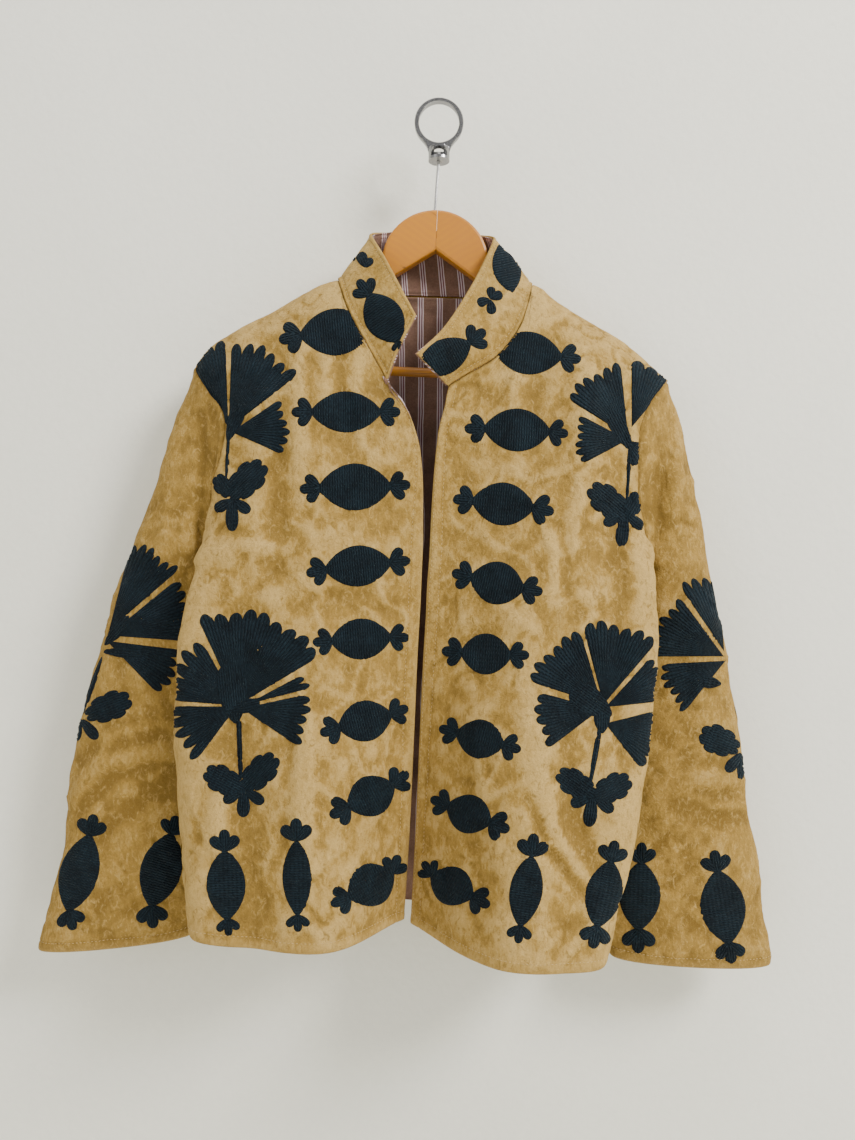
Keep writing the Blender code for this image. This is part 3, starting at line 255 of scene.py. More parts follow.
# Finer creases that only the looks have, in the columns of the folds above
FRONT_CREASES = (
    (-100, -232, -97, -300, 5, 1.5, 2), (-86, -236, -80, -290, 4.5, -1.4, 0),
    (-112, -240, -108, -310, 4.5, -1.2, 0), (-70, -262, -66, -320, 5, 1.2, 1),
    (-112, -430, -96, -444, 4, 1.6, 2), (-104, -426, -90, -434, 3.5, 1.4, -2),
    (-110, -448, -94, -438, 3.5, -1.3, 2), (-99, -424, -101, -450, 4, 1.3, 3),
    (-88, -440, -70, -452, 4, -1.1, 2), (-128, -400, -206, -412, 4.5, 1.5, -3),
    (-150, -388, -200, -384, 5, -1.2, 2), (-108, -528, -104, -684, 4, 1.8, 1),
    (-122, -520, -126, -640, 6, -1.4, 2), (-190, -672, -170, -700, 6, 1.6, 3),
    (-196, -640, -182, -664, 5, -1.3, 2), (-60, -560, -56, -640, 7, 1.1, 2),
    (-40, -420, -36, -560, 7, -1.2, 1), (-160, -470, -140, -500, 6, 1.2, 3),
    (70, -604, 118, -682, 4.5, -2.8, -6), (80, -600, 128, -676, 5.5, 2.0, -6),
    (88, -384, 92, -446, 5, 1.6, 3), (98, -380, 104, -442, 4.5, -1.4, 3),
    (114, -330, 112, -400, 5, 1.2, 2), (100, -446, 130, -440, 4, 1.4, 2),
    (106, -458, 138, -452, 4, -1.3, 2), (112, -468, 140, -466, 3.5, 1.2, -2),
    (60, -460, 84, -470, 4, 1.2, -2), (44, -440, 64, -448, 4, -1.1, 2),
    (40, -250, 46, -330, 6, -1.3, 2), (62, -244, 60, -300, 5, 1.2, 1),
    (30, -520, 34, -600, 7, 1.2, -2), (6, -420, 10, -560, 6, -1.0, 1),
    (50, -640, 60, -720, 7, 1.3, 2), (120, -690, 132, -735, 6, 1.4, 1),
    (140, -520, 150, -600, 6, -1.3, 2), (126, -250, 150, -262, 4, 1.2, 2),
)
BACK_CREASES = (
    (-140, -250, -60, -236, 7, 1.6, 5), (-40, -212, 40, -216, 7, 1.5, -5),
    (60, -250, 150, -268, 7, -1.5, 5), (-170, -420, -120, -470, 7, 1.6, 5),
    (150, -430, 104, -486, 7, 1.6, -5), (-120, -560, -60, -574, 6, 1.3, 4),
    (10, -600, 70, -588, 6, -1.3, 4), (-150, -600, -146, -720, 10, 1.8, 3),
    (0, -420, 4, -560, 10, 1.8, 3), (56, -500, 50, -640, 9, -1.8, 3),
    (110, -560, 104, -720, 10, 1.8, -3),
)
SLEEVE_CREASES = {
    "left": (
        (-209, -258, -206, -352, 5, -3.2, 1), (-240, -300, -238, -420, 8, 1.5, 3),
        (-262, -386, -220, -378, 5, 1.5, 3), (-318, -606, -286, -566, 4.5, 1.8, -3),
        (-290, -566, -226, -554, 4.5, 1.8, 3), (-312, -628, -290, -608, 5, -1.8, 2),
        (-320, -660, -300, -630, 6, 1.8, 3), (-300, -640, -262, -630, 5, 1.2, 4),
        (-296, -600, -250, -590, 5, -1.2, -3), (-286, -470, -230, -462, 7, 1.2, 4),
        (-270, -690, -240, -740, 8, 1.2, 3),
    ),
    "right": (
        (190, -300, 188, -384, 5, -3.0, 0), (226, -602, 262, -608, 4.5, 1.6, 3),
        (230, -616, 268, -612, 4.5, -1.6, -3), (236, -628, 272, -632, 4.5, 1.5, 2),
        (216, -640, 250, -648, 5, -1.3, 3), (214, -420, 226, -520, 8, 1.4, 3),
        (178, -560, 200, -640, 8, 1.3, -4), (200, -700, 210, -750, 7, 1.2, 2),
        (262, -680, 270, -744, 8, 1.3, 2), (206, -300, 204, -372, 4, 1.6, 1),
    ),
}


def unit(vectors):
    return vectors / np.maximum(np.linalg.norm(vectors, axis=-1, keepdims=True), 1e-9)


def spline(controls, share, before=0, after=0):
    """Points on the smooth curve through each row of controls, a share of the way along it.

    The first and last few controls can lie beyond its ends, only to steer it there.
    """
    gaps = np.maximum(np.linalg.norm(np.diff(controls, axis=1), axis=2), 1e-6)
    rise = np.diff(controls, axis=1) / gaps[:, :, None]
    inner = (rise[:, :-1] * gaps[:, 1:, None] + rise[:, 1:] * gaps[:, :-1, None]) / (
        gaps[:, :-1, None] + gaps[:, 1:, None]
    )
    slope = np.concatenate([rise[:, :1], inner, rise[:, -1:]], axis=1)
    stop = controls.shape[1] - after
    controls, slope, gaps = controls[:, before:stop], slope[:, before:stop], gaps[:, before : stop - 1]
    reach = np.concatenate([np.zeros((len(gaps), 1)), np.cumsum(gaps, axis=1)], axis=1)
    reach /= reach[:, -1:]
    i = np.clip((share[:, None] >= reach[:, 1:-1]).sum(1), 0, gaps.shape[1] - 1)
    row = np.arange(len(share))
    t = ((share - reach[row, i]) / (reach[row, i + 1] - reach[row, i]))[:, None]
    length = gaps[row, i][:, None]
    start, end = controls[row, i], controls[row, i + 1]
    curve = (2 * t**3 - 3 * t**2 + 1) * start + (3 * t**2 - 2 * t**3) * end
    return curve + length * ((t**3 - 2 * t**2 + t) * slope[row, i] + (t**3 - t**2) * slope[row, i + 1])


def across_the_seam(level, side, inner, seam, beyond):
    """Where a panel heads as it reaches its side seam: on round the body, or straight on at an armhole."""
    straight = seam + (seam - inner) * 0.6
    share = ease((level - UNDERARM[side]) / 25)[:, None]
    return beyond + (straight - beyond) * share


def over_the_ridge(section, level):
    """Bends the points of a section over the rounded shoulder."""
    x, y = section.T
    ridge = RIDGE.at("z", x)
    away = ridge - level + RIDGE_RADIUS
    drop = np.sqrt(away**2 + RIDGE_RADIUS**2) - RIDGE_RADIUS
    room = np.maximum(np.abs(y), 8.0)
    eased = y * (1 - np.exp(-np.maximum(away, 0) * RIDGE_SLOPE / room))
    over = RIDGE_REACH * (1 - np.exp(np.minimum(away, 0) * RIDGE_SLOPE / RIDGE_REACH))
    return np.stack([x, eased - over, ridge - drop], axis=1)


def level_over(x, away):
    """The level whose section lies this far from the ridge at x."""
    return RIDGE.at("z", x) + RIDGE_RADIUS - away


def section_points(table, names, level):
    return [np.stack([table.at(f"{name}_{axis}", level) for axis in "xy"], axis=1) for name in names]


def front_section(side, share, level):
    """A point on a front at a share of its width from the opening edge, at a level."""
    table = LEFT_FRONT if side == "left" else RIGHT_FRONT
    points = section_points(table, ("edge", "turn", "side", "fold", "seam"), level)
    middle = (points[1] + points[2]) / 2 + np.array([0.0, -6.0])
    run = section_points(LEFT_BACK if side == "left" else RIGHT_BACK, ("run",), level)[0]
    beyond = across_the_seam(level, side, points[3], points[4], run)
    controls = np.stack([points[0], points[1], middle, *points[2:], beyond], axis=1)
    return spline(controls, share, after=1)


def front_point(side, share, level):
    return over_the_ridge(front_section(side, share, level), level)


def back_section(share, level):
    """A point on the back at a share of its width, from the left seam to the right one."""
    sides = []
    for side, table, front in (("left", LEFT_BACK, LEFT_FRONT), ("right", RIGHT_BACK, RIGHT_FRONT)):
        points = section_points(table, ("seam", "run", "nook"), level)
        plane = np.stack([table.at("plane_x", level), np.full(len(level), BACK_PLANE_Y)], axis=1)
        fold = section_points(front, ("fold",), level)[0]
        beyond = across_the_seam(level, side, points[1], points[0], fold)
        sides.append([beyond, *points, plane])
    centre = (sides[0][4] + sides[1][4]) / 2 + np.array([0.0, 1.0])
    controls = np.stack([*sides[0], centre, *sides[1][::-1]], axis=1)
    return spline(controls, share, before=1, after=1)


def back_point(share, level):
    return over_the_ridge(back_section(share, level), level)


def solve_share(section, x, level):
    """The share across a section where it reaches x, by halving."""
    low, high = np.zeros(len(x)), np.ones(len(x))
    rising = section(high, level)[:, 0] > section(low, level)[:, 0]
    for _ in range(40):
        middle = (low + high) / 2
        short = (section(middle, level)[:, 0] < x) == rising
        low, high = np.where(short, middle, low), np.where(short, high, middle)
    return (low + high) / 2


def ease(share):
    """A smooth climb from 0 to 1, held outside that span."""
    held = np.clip(share, 0, 1)
    return held * held * (3 - 2 * held)


def fold_rise(x, z, folds):
    """How far the folds lift the cloth at points of the front view."""
    total = np.zeros(len(x))
    for x0, z0, x1, z1, width, rise, bow in folds:
        run, climb = x1 - x0, z1 - z0
        length = math.hypot(run, climb)
        along = ((x - x0) * run + (z - z0) * climb) / length**2
        across = ((z - z0) * run - (x - x0) * climb) / length
        held = np.clip(along, 0, 1)
        beyond = (along - held) * length
        across = across - bow * np.sin(math.pi * held)
        taper = np.exp(-((beyond / (1.2 * width)) ** 2)) * (0.55 + 0.45 * np.sin(math.pi * held))
        total += rise * taper * np.exp(-((across / width) ** 2))
    return total


def normals_of(point, share, level, small=(0.002, 0.6)):
    """Unit normals of a surface function at each share and level."""
    da = point(np.minimum(share + small[0], 1), level) - point(np.maximum(share - small[0], 0), level)
    db = point(share, level + small[1]) - point(share, level - small[1])
    return unit(np.cross(da, db))


def level_at(foot, under, top, v):
    """The level a share of the way up a panel, with the underarm at its own share."""
    low = foot + (under - foot) * v / ARMHOLE_SHARE
    high = under + (top - under) * (v - ARMHOLE_SHARE) / (1 - ARMHOLE_SHARE)
    return np.where(v <= ARMHOLE_SHARE, low, high)


def panel_top(section, hem, u, x_top, top):
    """The share and level of a panel's top edge and the height of its hem, for each column."""
    share = solve_share(section, x_top, top)
    share = np.where(u >= 1, 1.0, np.where(u <= 0, 0.0, share))
    foot_x = section(u, np.full(len(u), HEM_LEVEL))[:, 0]
    return np.stack([share, top, hem.at("z", foot_x)], axis=1)


def front_top(side, u):
    neck = LEFT_NECK if side == "left" else RIGHT_NECK
    tip_x = (LEFT_FRONT if side == "left" else RIGHT_FRONT).at("seam_x", TOP_LEVEL)
    share_n = np.clip(u / NECK_SHARE, 0, 1)
    x_neck, z_neck = neck.at("x", share_n), neck.at("z", share_n)
    drop = np.maximum(RIDGE.at("z", x_neck) - z_neck, 0)
    away_neck = np.maximum(np.sqrt((drop + RIDGE_RADIUS) ** 2 - RIDGE_RADIUS**2), SHOULDER_SEAM_AHEAD)
    share_s = np.clip((u - NECK_SHARE) / (1 - NECK_SHARE), 0, 1)
    x_top = np.where(u <= NECK_SHARE, x_neck, neck.rows[-1, 1] + (tip_x - neck.rows[-1, 1]) * share_s)
    away = np.where(u <= NECK_SHARE, away_neck, SHOULDER_SEAM_AHEAD)
    return panel_top(lambda s, l: front_section(side, s, l), HEM, u, x_top,
                     level_over(x_top, away + SEAM_GAP / 2))


def front_domain(side, u, v):
    """Share and level of a front's grid point: straight at the hem, neckline and shoulder on top."""
    top_share, top, foot = by_value(lambda kinds: front_top(side, kinds), u).T
    share = u + (top_share - u) * v**2
    trim = 1 - SEAM_GAP / 2 / FRONT_GIRTH
    return np.minimum(share, trim), level_at(foot, UNDERARM[side], top, v)


def back_top(u):
    x_top = BACK_TIP_LEFT + (BACK_TIP_RIGHT - BACK_TIP_LEFT) * u
    top = level_over(x_top, BACK_NECK.at("over", x_top) + SEAM_GAP / 2)
    return panel_top(back_section, BACK_HEM, u, x_top, top)


def back_domain(u, v):
    """Share and level of the back's grid point, up to the shoulder seams and the back neckline."""
    top_share, top, foot = by_value(back_top, u).T
    under = UNDERARM["left"] + (UNDERARM["right"] - UNDERARM["left"]) * u
    share = u + (top_share - u) * v**2
    trim = SEAM_GAP / 2 / BACK_GIRTH
    return np.clip(share, trim, 1 - trim), level_at(foot, under, top, v)


def folded(point, normal, folds, held):
    """Points moved out along their normals by the folds of the front view."""
    return point + normal * (fold_rise(point[:, 0], point[:, 2], folds) * held)[:, None]


def front_surface(side, u, v):
    share, level = front_domain(side, u, v)
    normal = normals_of(lambda s, l: front_point(side, s, l), share, level)
    normal *= -1.0 if side == "left" else 1.0
    held = ease((1 - v) / FRONT_FADE[0]) * ease((1 - u) / FRONT_FADE[1])
    return folded(front_point(side, share, level), normal, FRONT_FOLDS + FRONT_CREASES, held)


def back_surface(u, v):
    share, level = back_domain(u, v)
    normal = -normals_of(back_point, share, level)
    held = ease((1 - v) / BACK_FADE[0]) * ease(u / BACK_FADE[1]) * ease((1 - u) / BACK_FADE[1])
    return folded(back_point(share, level), normal, BACK_FOLDS + BACK_CREASES, held)


def armhole_point(side, turn):
    """A point of the armhole: turn 0 at the shoulder tip, down the front, 0.5 at the underarm."""
    fall = np.abs(1 - 2 * turn)
    v = ARMHOLE_SHARE + (1 - ARMHOLE_SHARE) * np.interp(fall, *ARMHOLE_STEPS)
    ones = np.ones(len(turn))
    front = front_surface(side, ones, v)
    back = back_surface(ones * (0.0 if side == "left" else 1.0), v)
    return np.where((turn <= 0.5)[:, None], front, back)


def sleeve_ring(side, row, turn):
    """Points of one table row's oval. Turn 0 is the outer fold, 0.25 the front, 0.5 the inner fold."""
    table = LEFT_SLEEVE if side == "left" else RIGHT_SLEEVE
    outer_x, outer_z, inner_x, inner_z, depth = table.rows[row, 1:]
    angle = 2 * math.pi * turn
    along = np.sign(np.cos(angle)) * np.abs(np.cos(angle)) ** 0.92
    ahead = np.sign(np.sin(angle)) * np.abs(np.sin(angle)) ** 0.8
    x = (outer_x + inner_x) / 2 + (outer_x - inner_x) / 2 * along
    z = (outer_z + inner_z) / 2 + (outer_z - inner_z) / 2 * along
    egg = SLEEVE_EGG * max(0.0, 1 - row / 6)
    y = SLEEVE_CENTRE_Y - depth * ahead * (1 + egg * along)
    return np.stack([x, y, z], axis=1)


def sleeve_base(side, turn, row):
    """A point on a sleeve: turn round it, row 0 at the armhole and 9 at the cuff."""
    turn = turn % 1.0
    first = by_value(lambda kinds: armhole_point(side, kinds), turn)
    around = armhole_point(side, np.linspace(0, 1, 25)[:24]).mean(axis=0)
    rings = [first]
    for k in range(1, 10):
        oval = sleeve_ring(side, k, turn)
        middle = sleeve_ring(side, k, np.linspace(0, 1, 9)[:8]).mean(axis=0)
        follow = SLEEVE_FOLLOWS[k] if k < len(SLEEVE_FOLLOWS) else 0.0
        rings.append(oval + (first - around + middle - oval) * follow)
    rings = np.stack(rings, axis=1)
    count = rings.shape[1]
    i = np.clip(row.astype(int), 0, count - 2)
    t = (row - i)[:, None]
    pick = np.arange(len(turn))
    here, there = rings[pick, i], rings[pick, i + 1]
    before = rings[pick, np.maximum(i - 1, 0)]
    after = rings[pick, np.minimum(i + 2, count - 1)]
    rise_0 = (there - before) / 2 * np.where(i == 0, 2.0, 1.0)[:, None]
    rise_1 = (after - here) / 2 * np.where(i == count - 2, 2.0, 1.0)[:, None]
    curve = (2 * t**3 - 3 * t**2 + 1) * here + (3 * t**2 - 2 * t**3) * there
    return curve + (t**3 - 2 * t**2 + t) * rise_0 + (t**3 - t**2) * rise_1


def sleeve_surface(side, turn, row):
    point = sleeve_base(side, turn, row)
    around = sleeve_base(side, turn + 0.004, row) - sleeve_base(side, turn - 0.004, row)
    down = sleeve_base(side, turn, np.minimum(row + 0.01, SLEEVE_LAST_ROW))
    down = down - sleeve_base(side, turn, np.maximum(row - 0.01, 0))
    normal = unit(np.cross(around, down) * (1.0 if side == "right" else -1.0))
    facing = np.clip(-normal[:, 1], 0, 1)
    fold = fold_rise(point[:, 0], point[:, 2], SLEEVE_FOLDS[side] + SLEEVE_CREASES[side])
    return point + normal * (fold * facing * np.clip((row - 0.3) / 0.9, 0, 1))[:, None]


def neckline(u):
    """A point of the collar's seam: the left front, the back, then the right front, a third each."""
    share = 3 * u
    ones = np.ones(len(u))
    left = front_surface("left", NECK_SHARE * np.clip(share, 0, 1), ones)
    across = BACK_NECK_LEFT + (BACK_NECK_RIGHT - BACK_NECK_LEFT) * np.clip(share - 1, 0, 1)
    back = back_surface(across, ones)
    right = front_surface("right", NECK_SHARE * np.clip(3 - share, 0, 1), ones)
    return np.where((share <= 1)[:, None], left, np.where((share < 2)[:, None], back, right))


def neck_lengths():
    """The share of the neckline's length at even steps of u."""
    steps = np.linspace(0, 1, 301)
    gaps = np.linalg.norm(np.diff(neckline(steps), axis=0), axis=1)
    reach = np.concatenate([[0], np.cumsum(gaps)])
    return steps, reach / reach[-1]


def collar_surface(u, v):
    """The collar band: u round the neck, v from its seam to its free edge."""
    foot = by_value(neckline, u)
    along = np.interp(u, *neck_lengths())
    top = np.stack([COLLAR_TOP.at(name, along) for name in "xyz"], axis=1)
    point = foot + (top - foot) * v[:, None]
    outward = unit((point - np.array(NECK_MIDDLE)) * np.array([1.0, 1.0, 0.0]))
    return point + outward * (COLLAR_BOW * np.sin(math.pi * v))[:, None]


# The cloth as laid for the looks: seams closed, cells a few millimetres wide
SEAM_GAP = 0.1
SLEEVE_LAST_ROW = 9.0
# Raised and sunk places of the cloth, painted into the velvet as painted light and shade, paler where raised
# and darker where sunk: cells that each measure reaches with its share, and their gain
RIDGE_SCALES = ((3, 1.5), (8, 0.42))
PAINTED_LIGHT_SHADE_GAIN = 0.38
# How much darker the sleeves' velvet is painted as a whole: painted shade
SLEEVE_PAINTED_SHADE = -0.42
# The wall at a free or sewn edge as a share of the whole, how near that is, and how far wear reaches
EDGE_WALL_SHARE = 0.55
EDGE_NEAR = 0.4
WEAR_REACH = 2.5
NO_EDGE = 1e3
# Distances of the stitching from its edge
HEM_STITCH = 8.5
OPENING_STITCH = 10.5
EDGE_STITCH = 2.6
COLLAR_STITCH = 4.2
COLLAR_SEAM_STITCH = 4.6


def by_value(function, values):
    """A function of one number, worked out once for each different value."""
    kinds, where = np.unique(values, return_inverse=True)
    return function(kinds)[where.reshape(-1)]


def swell(near, middle, width, height):
    """A soft ridge, or a groove where height is negative, that runs beside an edge."""
    return height * np.exp(-(((near - middle) / width) ** 2))


def puckers(points, size, height):
    """Small uneven waves of crushed cloth."""
    flat = points.reshape(-1, 3) / size
    waves = [noise.noise(Vector(spot)) for spot in flat]
    return height * np.array(waves).reshape(points.shape[:-1])


def wrinkles(points, size, width, height):
    """Thin raised lines that wander, in patches."""
    lines = 1 - np.abs(puckers(points, size, 1.0)) / width
    patch = ease(0.5 + 2.2 * puckers(points + 900.0, size * 1.7, 1.0))
    return height * np.clip(lines, 0, 1) ** 2 * patch


def crushed(points):
    """The relief of crushed velvet: slow waves, small puckers and fine wandering creases."""
    slow = puckers(points, 50.0, 3.0) + puckers(points + 300.0, 17.0, 1.2)
    fine = wrinkles(points, 34.0, 0.16, 1.3) - wrinkles(points + 150.0, 26.0, 0.14, 1.2)
    return slow + fine + puckers(points + 700.0, 6.0, 0.3)


def turned_hem(near):
    """The groove of a hem's stitching and the swell of the cloth turned under it."""
    return swell(near, HEM_STITCH, 0.9, -0.6) + swell(near, 4, 3, 0.4)


def seam_groove(near):
    return swell(near, 0, 1.8, -0.9)


def rounded_edge(near):
    return swell(near, 0, 0.8, -0.8)


def front_relief(points, near):
    free = np.minimum(near["left"], near["foot"])
    edge = np.minimum(free, np.minimum(near["right"], near["top"]))
    body = crushed(points) * ease((edge - 1) / 9)
    opening = swell(near["left"], OPENING_STITCH, 0.9, -0.6) + swell(near["left"], 5, 4, 0.4)
    seams = seam_groove(near["right"]) + seam_groove(near["top"])
    seams += swell(near["top"], 5, 2.5, 0.3) + swell(near["right"], 5, 2.5, 0.3)
    return body + opening + turned_hem(near["foot"]) + seams + rounded_edge(free)


def back_relief(points, near):
    sides = np.minimum(near["left"], near["right"])
    edge = np.minimum(sides, np.minimum(near["foot"], near["top"]))
    body = crushed(points) * ease((edge - 1) / 9)
    seams = seam_groove(sides) + seam_groove(near["top"])
    return body + turned_hem(near["foot"]) + seams + rounded_edge(near["foot"])


def sleeve_relief(points, near):
    body = crushed(points) * ease((near["foot"] - 1) / 9) * ease((near["top"] - 1) / 9)
    armhole = seam_groove(near["foot"]) + swell(near["foot"], 5, 3, 0.5)
    return body + turned_hem(near["top"]) + armhole + rounded_edge(near["top"])


def collar_relief(points, near):
    free = np.minimum(near["top"], np.minimum(near["left"], near["right"]))
    body = crushed(points) * 0.5 * ease((np.minimum(free, near["foot"]) - 1) / 8)
    rim = swell(free, COLLAR_STITCH, 0.8, -0.45) + swell(free, 2, 1.6, 0.3) + swell(free, 0, 0.7, -0.7)
    base = swell(near["foot"], 1.6, 1.4, 1.1) + swell(near["foot"], COLLAR_SEAM_STITCH, 0.9, -0.4)
    return body + rim + base


def no_relief(points, near):
    return np.zeros(points.shape[:-1])


class LaidCloth:
    """A grid laid on a surface function, with its lengths measured along the cloth."""

    def __init__(self, columns, rows, surface, relief, outward=1.0, closed=False):
        self.closed = closed
        self.wide, self.high = len(columns) - 1, len(rows) - 1
        u, v = np.meshgrid(columns, rows)
        points = surface(u.ravel(), v.ravel()).reshape(u.shape + (3,))
        steps = np.linalg.norm(np.diff(points, axis=1), axis=2)
        rises = np.linalg.norm(np.diff(points, axis=0), axis=2)
        self.across = np.concatenate([np.zeros((self.high + 1, 1)), np.cumsum(steps, axis=1)], axis=1)
        self.along = np.concatenate([np.zeros((1, self.wide + 1)), np.cumsum(rises, axis=0)], axis=0)
        self.normals = self.outward(points) * outward
        self.near = {"left": self.across, "right": self.across[:, -1:] - self.across,
                     "foot": self.along, "top": self.along[-1:] - self.along}
        self.points = points + self.normals * relief(points, self.near)[:, :, None]
        # How far the cloth stands out, used only to paint light and shade into the velvet's colour
        self.ridge = sum(self.ridges(reach) * share for reach, share in RIDGE_SCALES)

    def outward(self, points):
        if self.closed:
            ring = np.concatenate([points[:, -2:-1], points, points[:, 1:2]], axis=1)
            across = np.gradient(ring, axis=1)[:, 1:-1]
        else:
            across = np.gradient(points, axis=1)
        return unit(np.cross(across, np.gradient(points, axis=0)))

    def ridges(self, reach):
        """How far the cloth stands out from what surrounds it, within reach cells."""
        held = np.pad(self.points, ((reach, reach), (reach, reach), (0, 0)), mode="edge")
        whole = slice(reach, -reach)
        around = (held[whole, 2 * reach:] + held[whole, :-2 * reach]) / 2
        below = (held[2 * reach:, whole] + held[:-2 * reach, whole]) / 2
        out = sum(((self.points - mean) * self.normals).sum(2) for mean in (around, below))
        sides = ("foot", "top") if self.closed else self.near
        edge = np.minimum.reduce([self.near[side] for side in sides])
        return out * ease(edge / (3.0 * reach))

    def moved_in(self, depth, margin):
        """The same cloth moved inwards, its edges drawn back by a share of a cell."""
        inner = object.__new__(LaidCloth)
        inner.__dict__.update(self.__dict__)
        points = self.points - self.normals * depth
        points[:, [0, -1]] += (points[:, [1, -2]] - points[:, [0, -1]]) * margin
        points[[0, -1]] += (points[[1, -2]] - points[[0, -1]]) * margin
        inner.points = points
        return inner

    # nap lowers the painted light value of the whole piece: painted shade, darker velvet
    def piece(self, name, materials, wall, flip, free_edges=(), thin_edges=(), nap=0.0, centred=False):
        """An object of this cloth with a wall inwards, its second material inside. Flip turns its faces."""
        bm = bmesh.new()
        uv = bm.loops.layers.uv.new("cloth")
        wear = bm.verts.layers.float.new("wear")
        ridge = bm.verts.layers.float.new("ridge")
        share = bm.verts.layers.deform.verify()
        bmesh.ops.create_grid(bm, x_segments=self.wide, y_segments=self.high, size=0.5)
        bm.verts.index_update()
        spots = np.array([vert.co for vert in bm.verts])
        i = np.round((spots[:, 0] + 0.5) * self.wide).astype(int)
        j = np.round((spots[:, 1] + 0.5) * self.high).astype(int)
        placed = self.points[j, i] * MM
        middle = self.across[:, self.wide // 2: self.wide // 2 + 1] if centred else 0.0
        across, along = (self.across - middle)[j, i] * MM, self.along[j, i] * MM
        # Painted light and shade: raised cloth gets a higher value, which the velvet paints paler, and sunk
        # cloth a lower one, painted darker
        painted_light_and_shade = 0.5 + 0.5 * np.tanh(self.ridge[j, i] * PAINTED_LIGHT_SHADE_GAIN) + nap
        free, thin = (np.min([np.full(len(i), NO_EDGE)] + [self.near[edge][j, i] for edge in edges], axis=0)
                      for edges in (free_edges, thin_edges))
        for k, vert in enumerate(bm.verts):
            vert.co = placed[k]
            vert[wear] = math.exp(-free[k] / WEAR_REACH)
            vert[ridge] = painted_light_and_shade[k]
            vert[share][0] = EDGE_WALL_SHARE if thin[k] < EDGE_NEAR else 1.0
        for face in bm.faces:
            for loop in face.loops:
                k = loop.vert.index
                loop[uv].uv = (across[k], along[k])
        if self.closed:
            bmesh.ops.remove_doubles(bm, verts=bm.verts, dist=0.02 * MM)
        if flip:
            bmesh.ops.reverse_faces(bm, faces=bm.faces)
        bm.normal_update()
        piece = link_piece(name, bm, materials)
        piece.vertex_groups.new(name="wall_share")
        shell = piece.modifiers.new("wall", "SOLIDIFY")
        shell.thickness = wall * MM
        shell.offset = -1.0
        shell.vertex_group = "wall_share"
        shell.material_offset = len(materials) - 1
        return piece


def link_piece(name, bm, materials):
    """An object of smooth faces that rides the coat's body."""
    mesh = bpy.data.meshes.new(name)
    bm.to_mesh(mesh)
    bm.free()
    mesh.shade_smooth()
    piece = bpy.data.objects.new(name, mesh)
    for material in materials:
        mesh.materials.append(material)
    bpy.context.scene.collection.objects.link(piece)
    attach(piece, "root")
    return piece


def cells(*spans):
    """Places along a panel from spans of (start, end, steps) that follow each other."""
    parts = [np.linspace(start, end, steps + 1)[1:] for start, end, steps in spans]
    return np.concatenate([[spans[0][0]], *parts])


def hang_sheet(replaced):
    """Hides the solid that a cloth piece stands in for."""
    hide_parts(replaced)


# Shader building
def add_node(tree, kind, inputs=None, **settings):
    """A node with its settings, its inputs joined to sockets or set to values."""
    item = tree.nodes.new(kind)
    for name, value in settings.items():
        setattr(item, name, value)
    for key, value in (inputs or {}).items():
        if isinstance(value, bpy.types.NodeSocket):
            tree.links.new(value, item.inputs[key])
        else:
            item.inputs[key].default_value = value
    return item


def ramp(tree, fac, *stops):
    """A colour ramp from (place, grey) stops."""
    item = add_node(tree, "ShaderNodeValToRGB", {"Fac": fac})
    elements = item.color_ramp.elements
    while len(elements) < len(stops):
        elements.new(0.5)
    for element, (place, grey) in zip(elements, stops):
        element.position = place
        element.color = (grey, grey, grey, 1.0)
    return item.outputs["Color"]


def mix_colour(tree, fac, first, second, blend="MIX"):
    item = add_node(tree, "ShaderNodeMix", data_type="RGBA", blend_type=blend)
    for socket, value in ((item.inputs[0], fac), (item.inputs[6], first), (item.inputs[7], second)):
        if isinstance(value, bpy.types.NodeSocket):
            tree.links.new(value, socket)
        elif hasattr(value, "__len__"):
            socket.default_value = (*value[:3], 1.0)
        else:
            socket.default_value = value
    return item.outputs[2]


def maths(tree, operation, first, second=0.0):
    item = add_node(tree, "ShaderNodeMath", {0: first, 1: second}, operation=operation)
    return item.outputs[0]


def noise_at(tree, where, scale, detail=3.0, rough=0.55, distortion=0.0):
    item = add_node(tree, "ShaderNodeTexNoise", {"Vector": where, "Scale": scale, "Detail": detail,
                                                 "Roughness": rough, "Distortion": distortion})
    return item.outputs["Fac"]


def node_group(name, inputs, outputs):
    """A new shader group with (name, kind, value) inputs and (name, kind) outputs, and its two ends."""
    tree = bpy.data.node_groups.new(name, "ShaderNodeTree")
    for label, kind, value in inputs:
        socket = tree.interface.new_socket(label, in_out="INPUT", socket_type=kind)
        if value is not None:
            socket.default_value = value
    for label, kind in outputs:
        tree.interface.new_socket(label, in_out="OUTPUT", socket_type=kind)
    return tree, tree.nodes.new("NodeGroupInput"), tree.nodes.new("NodeGroupOutput")


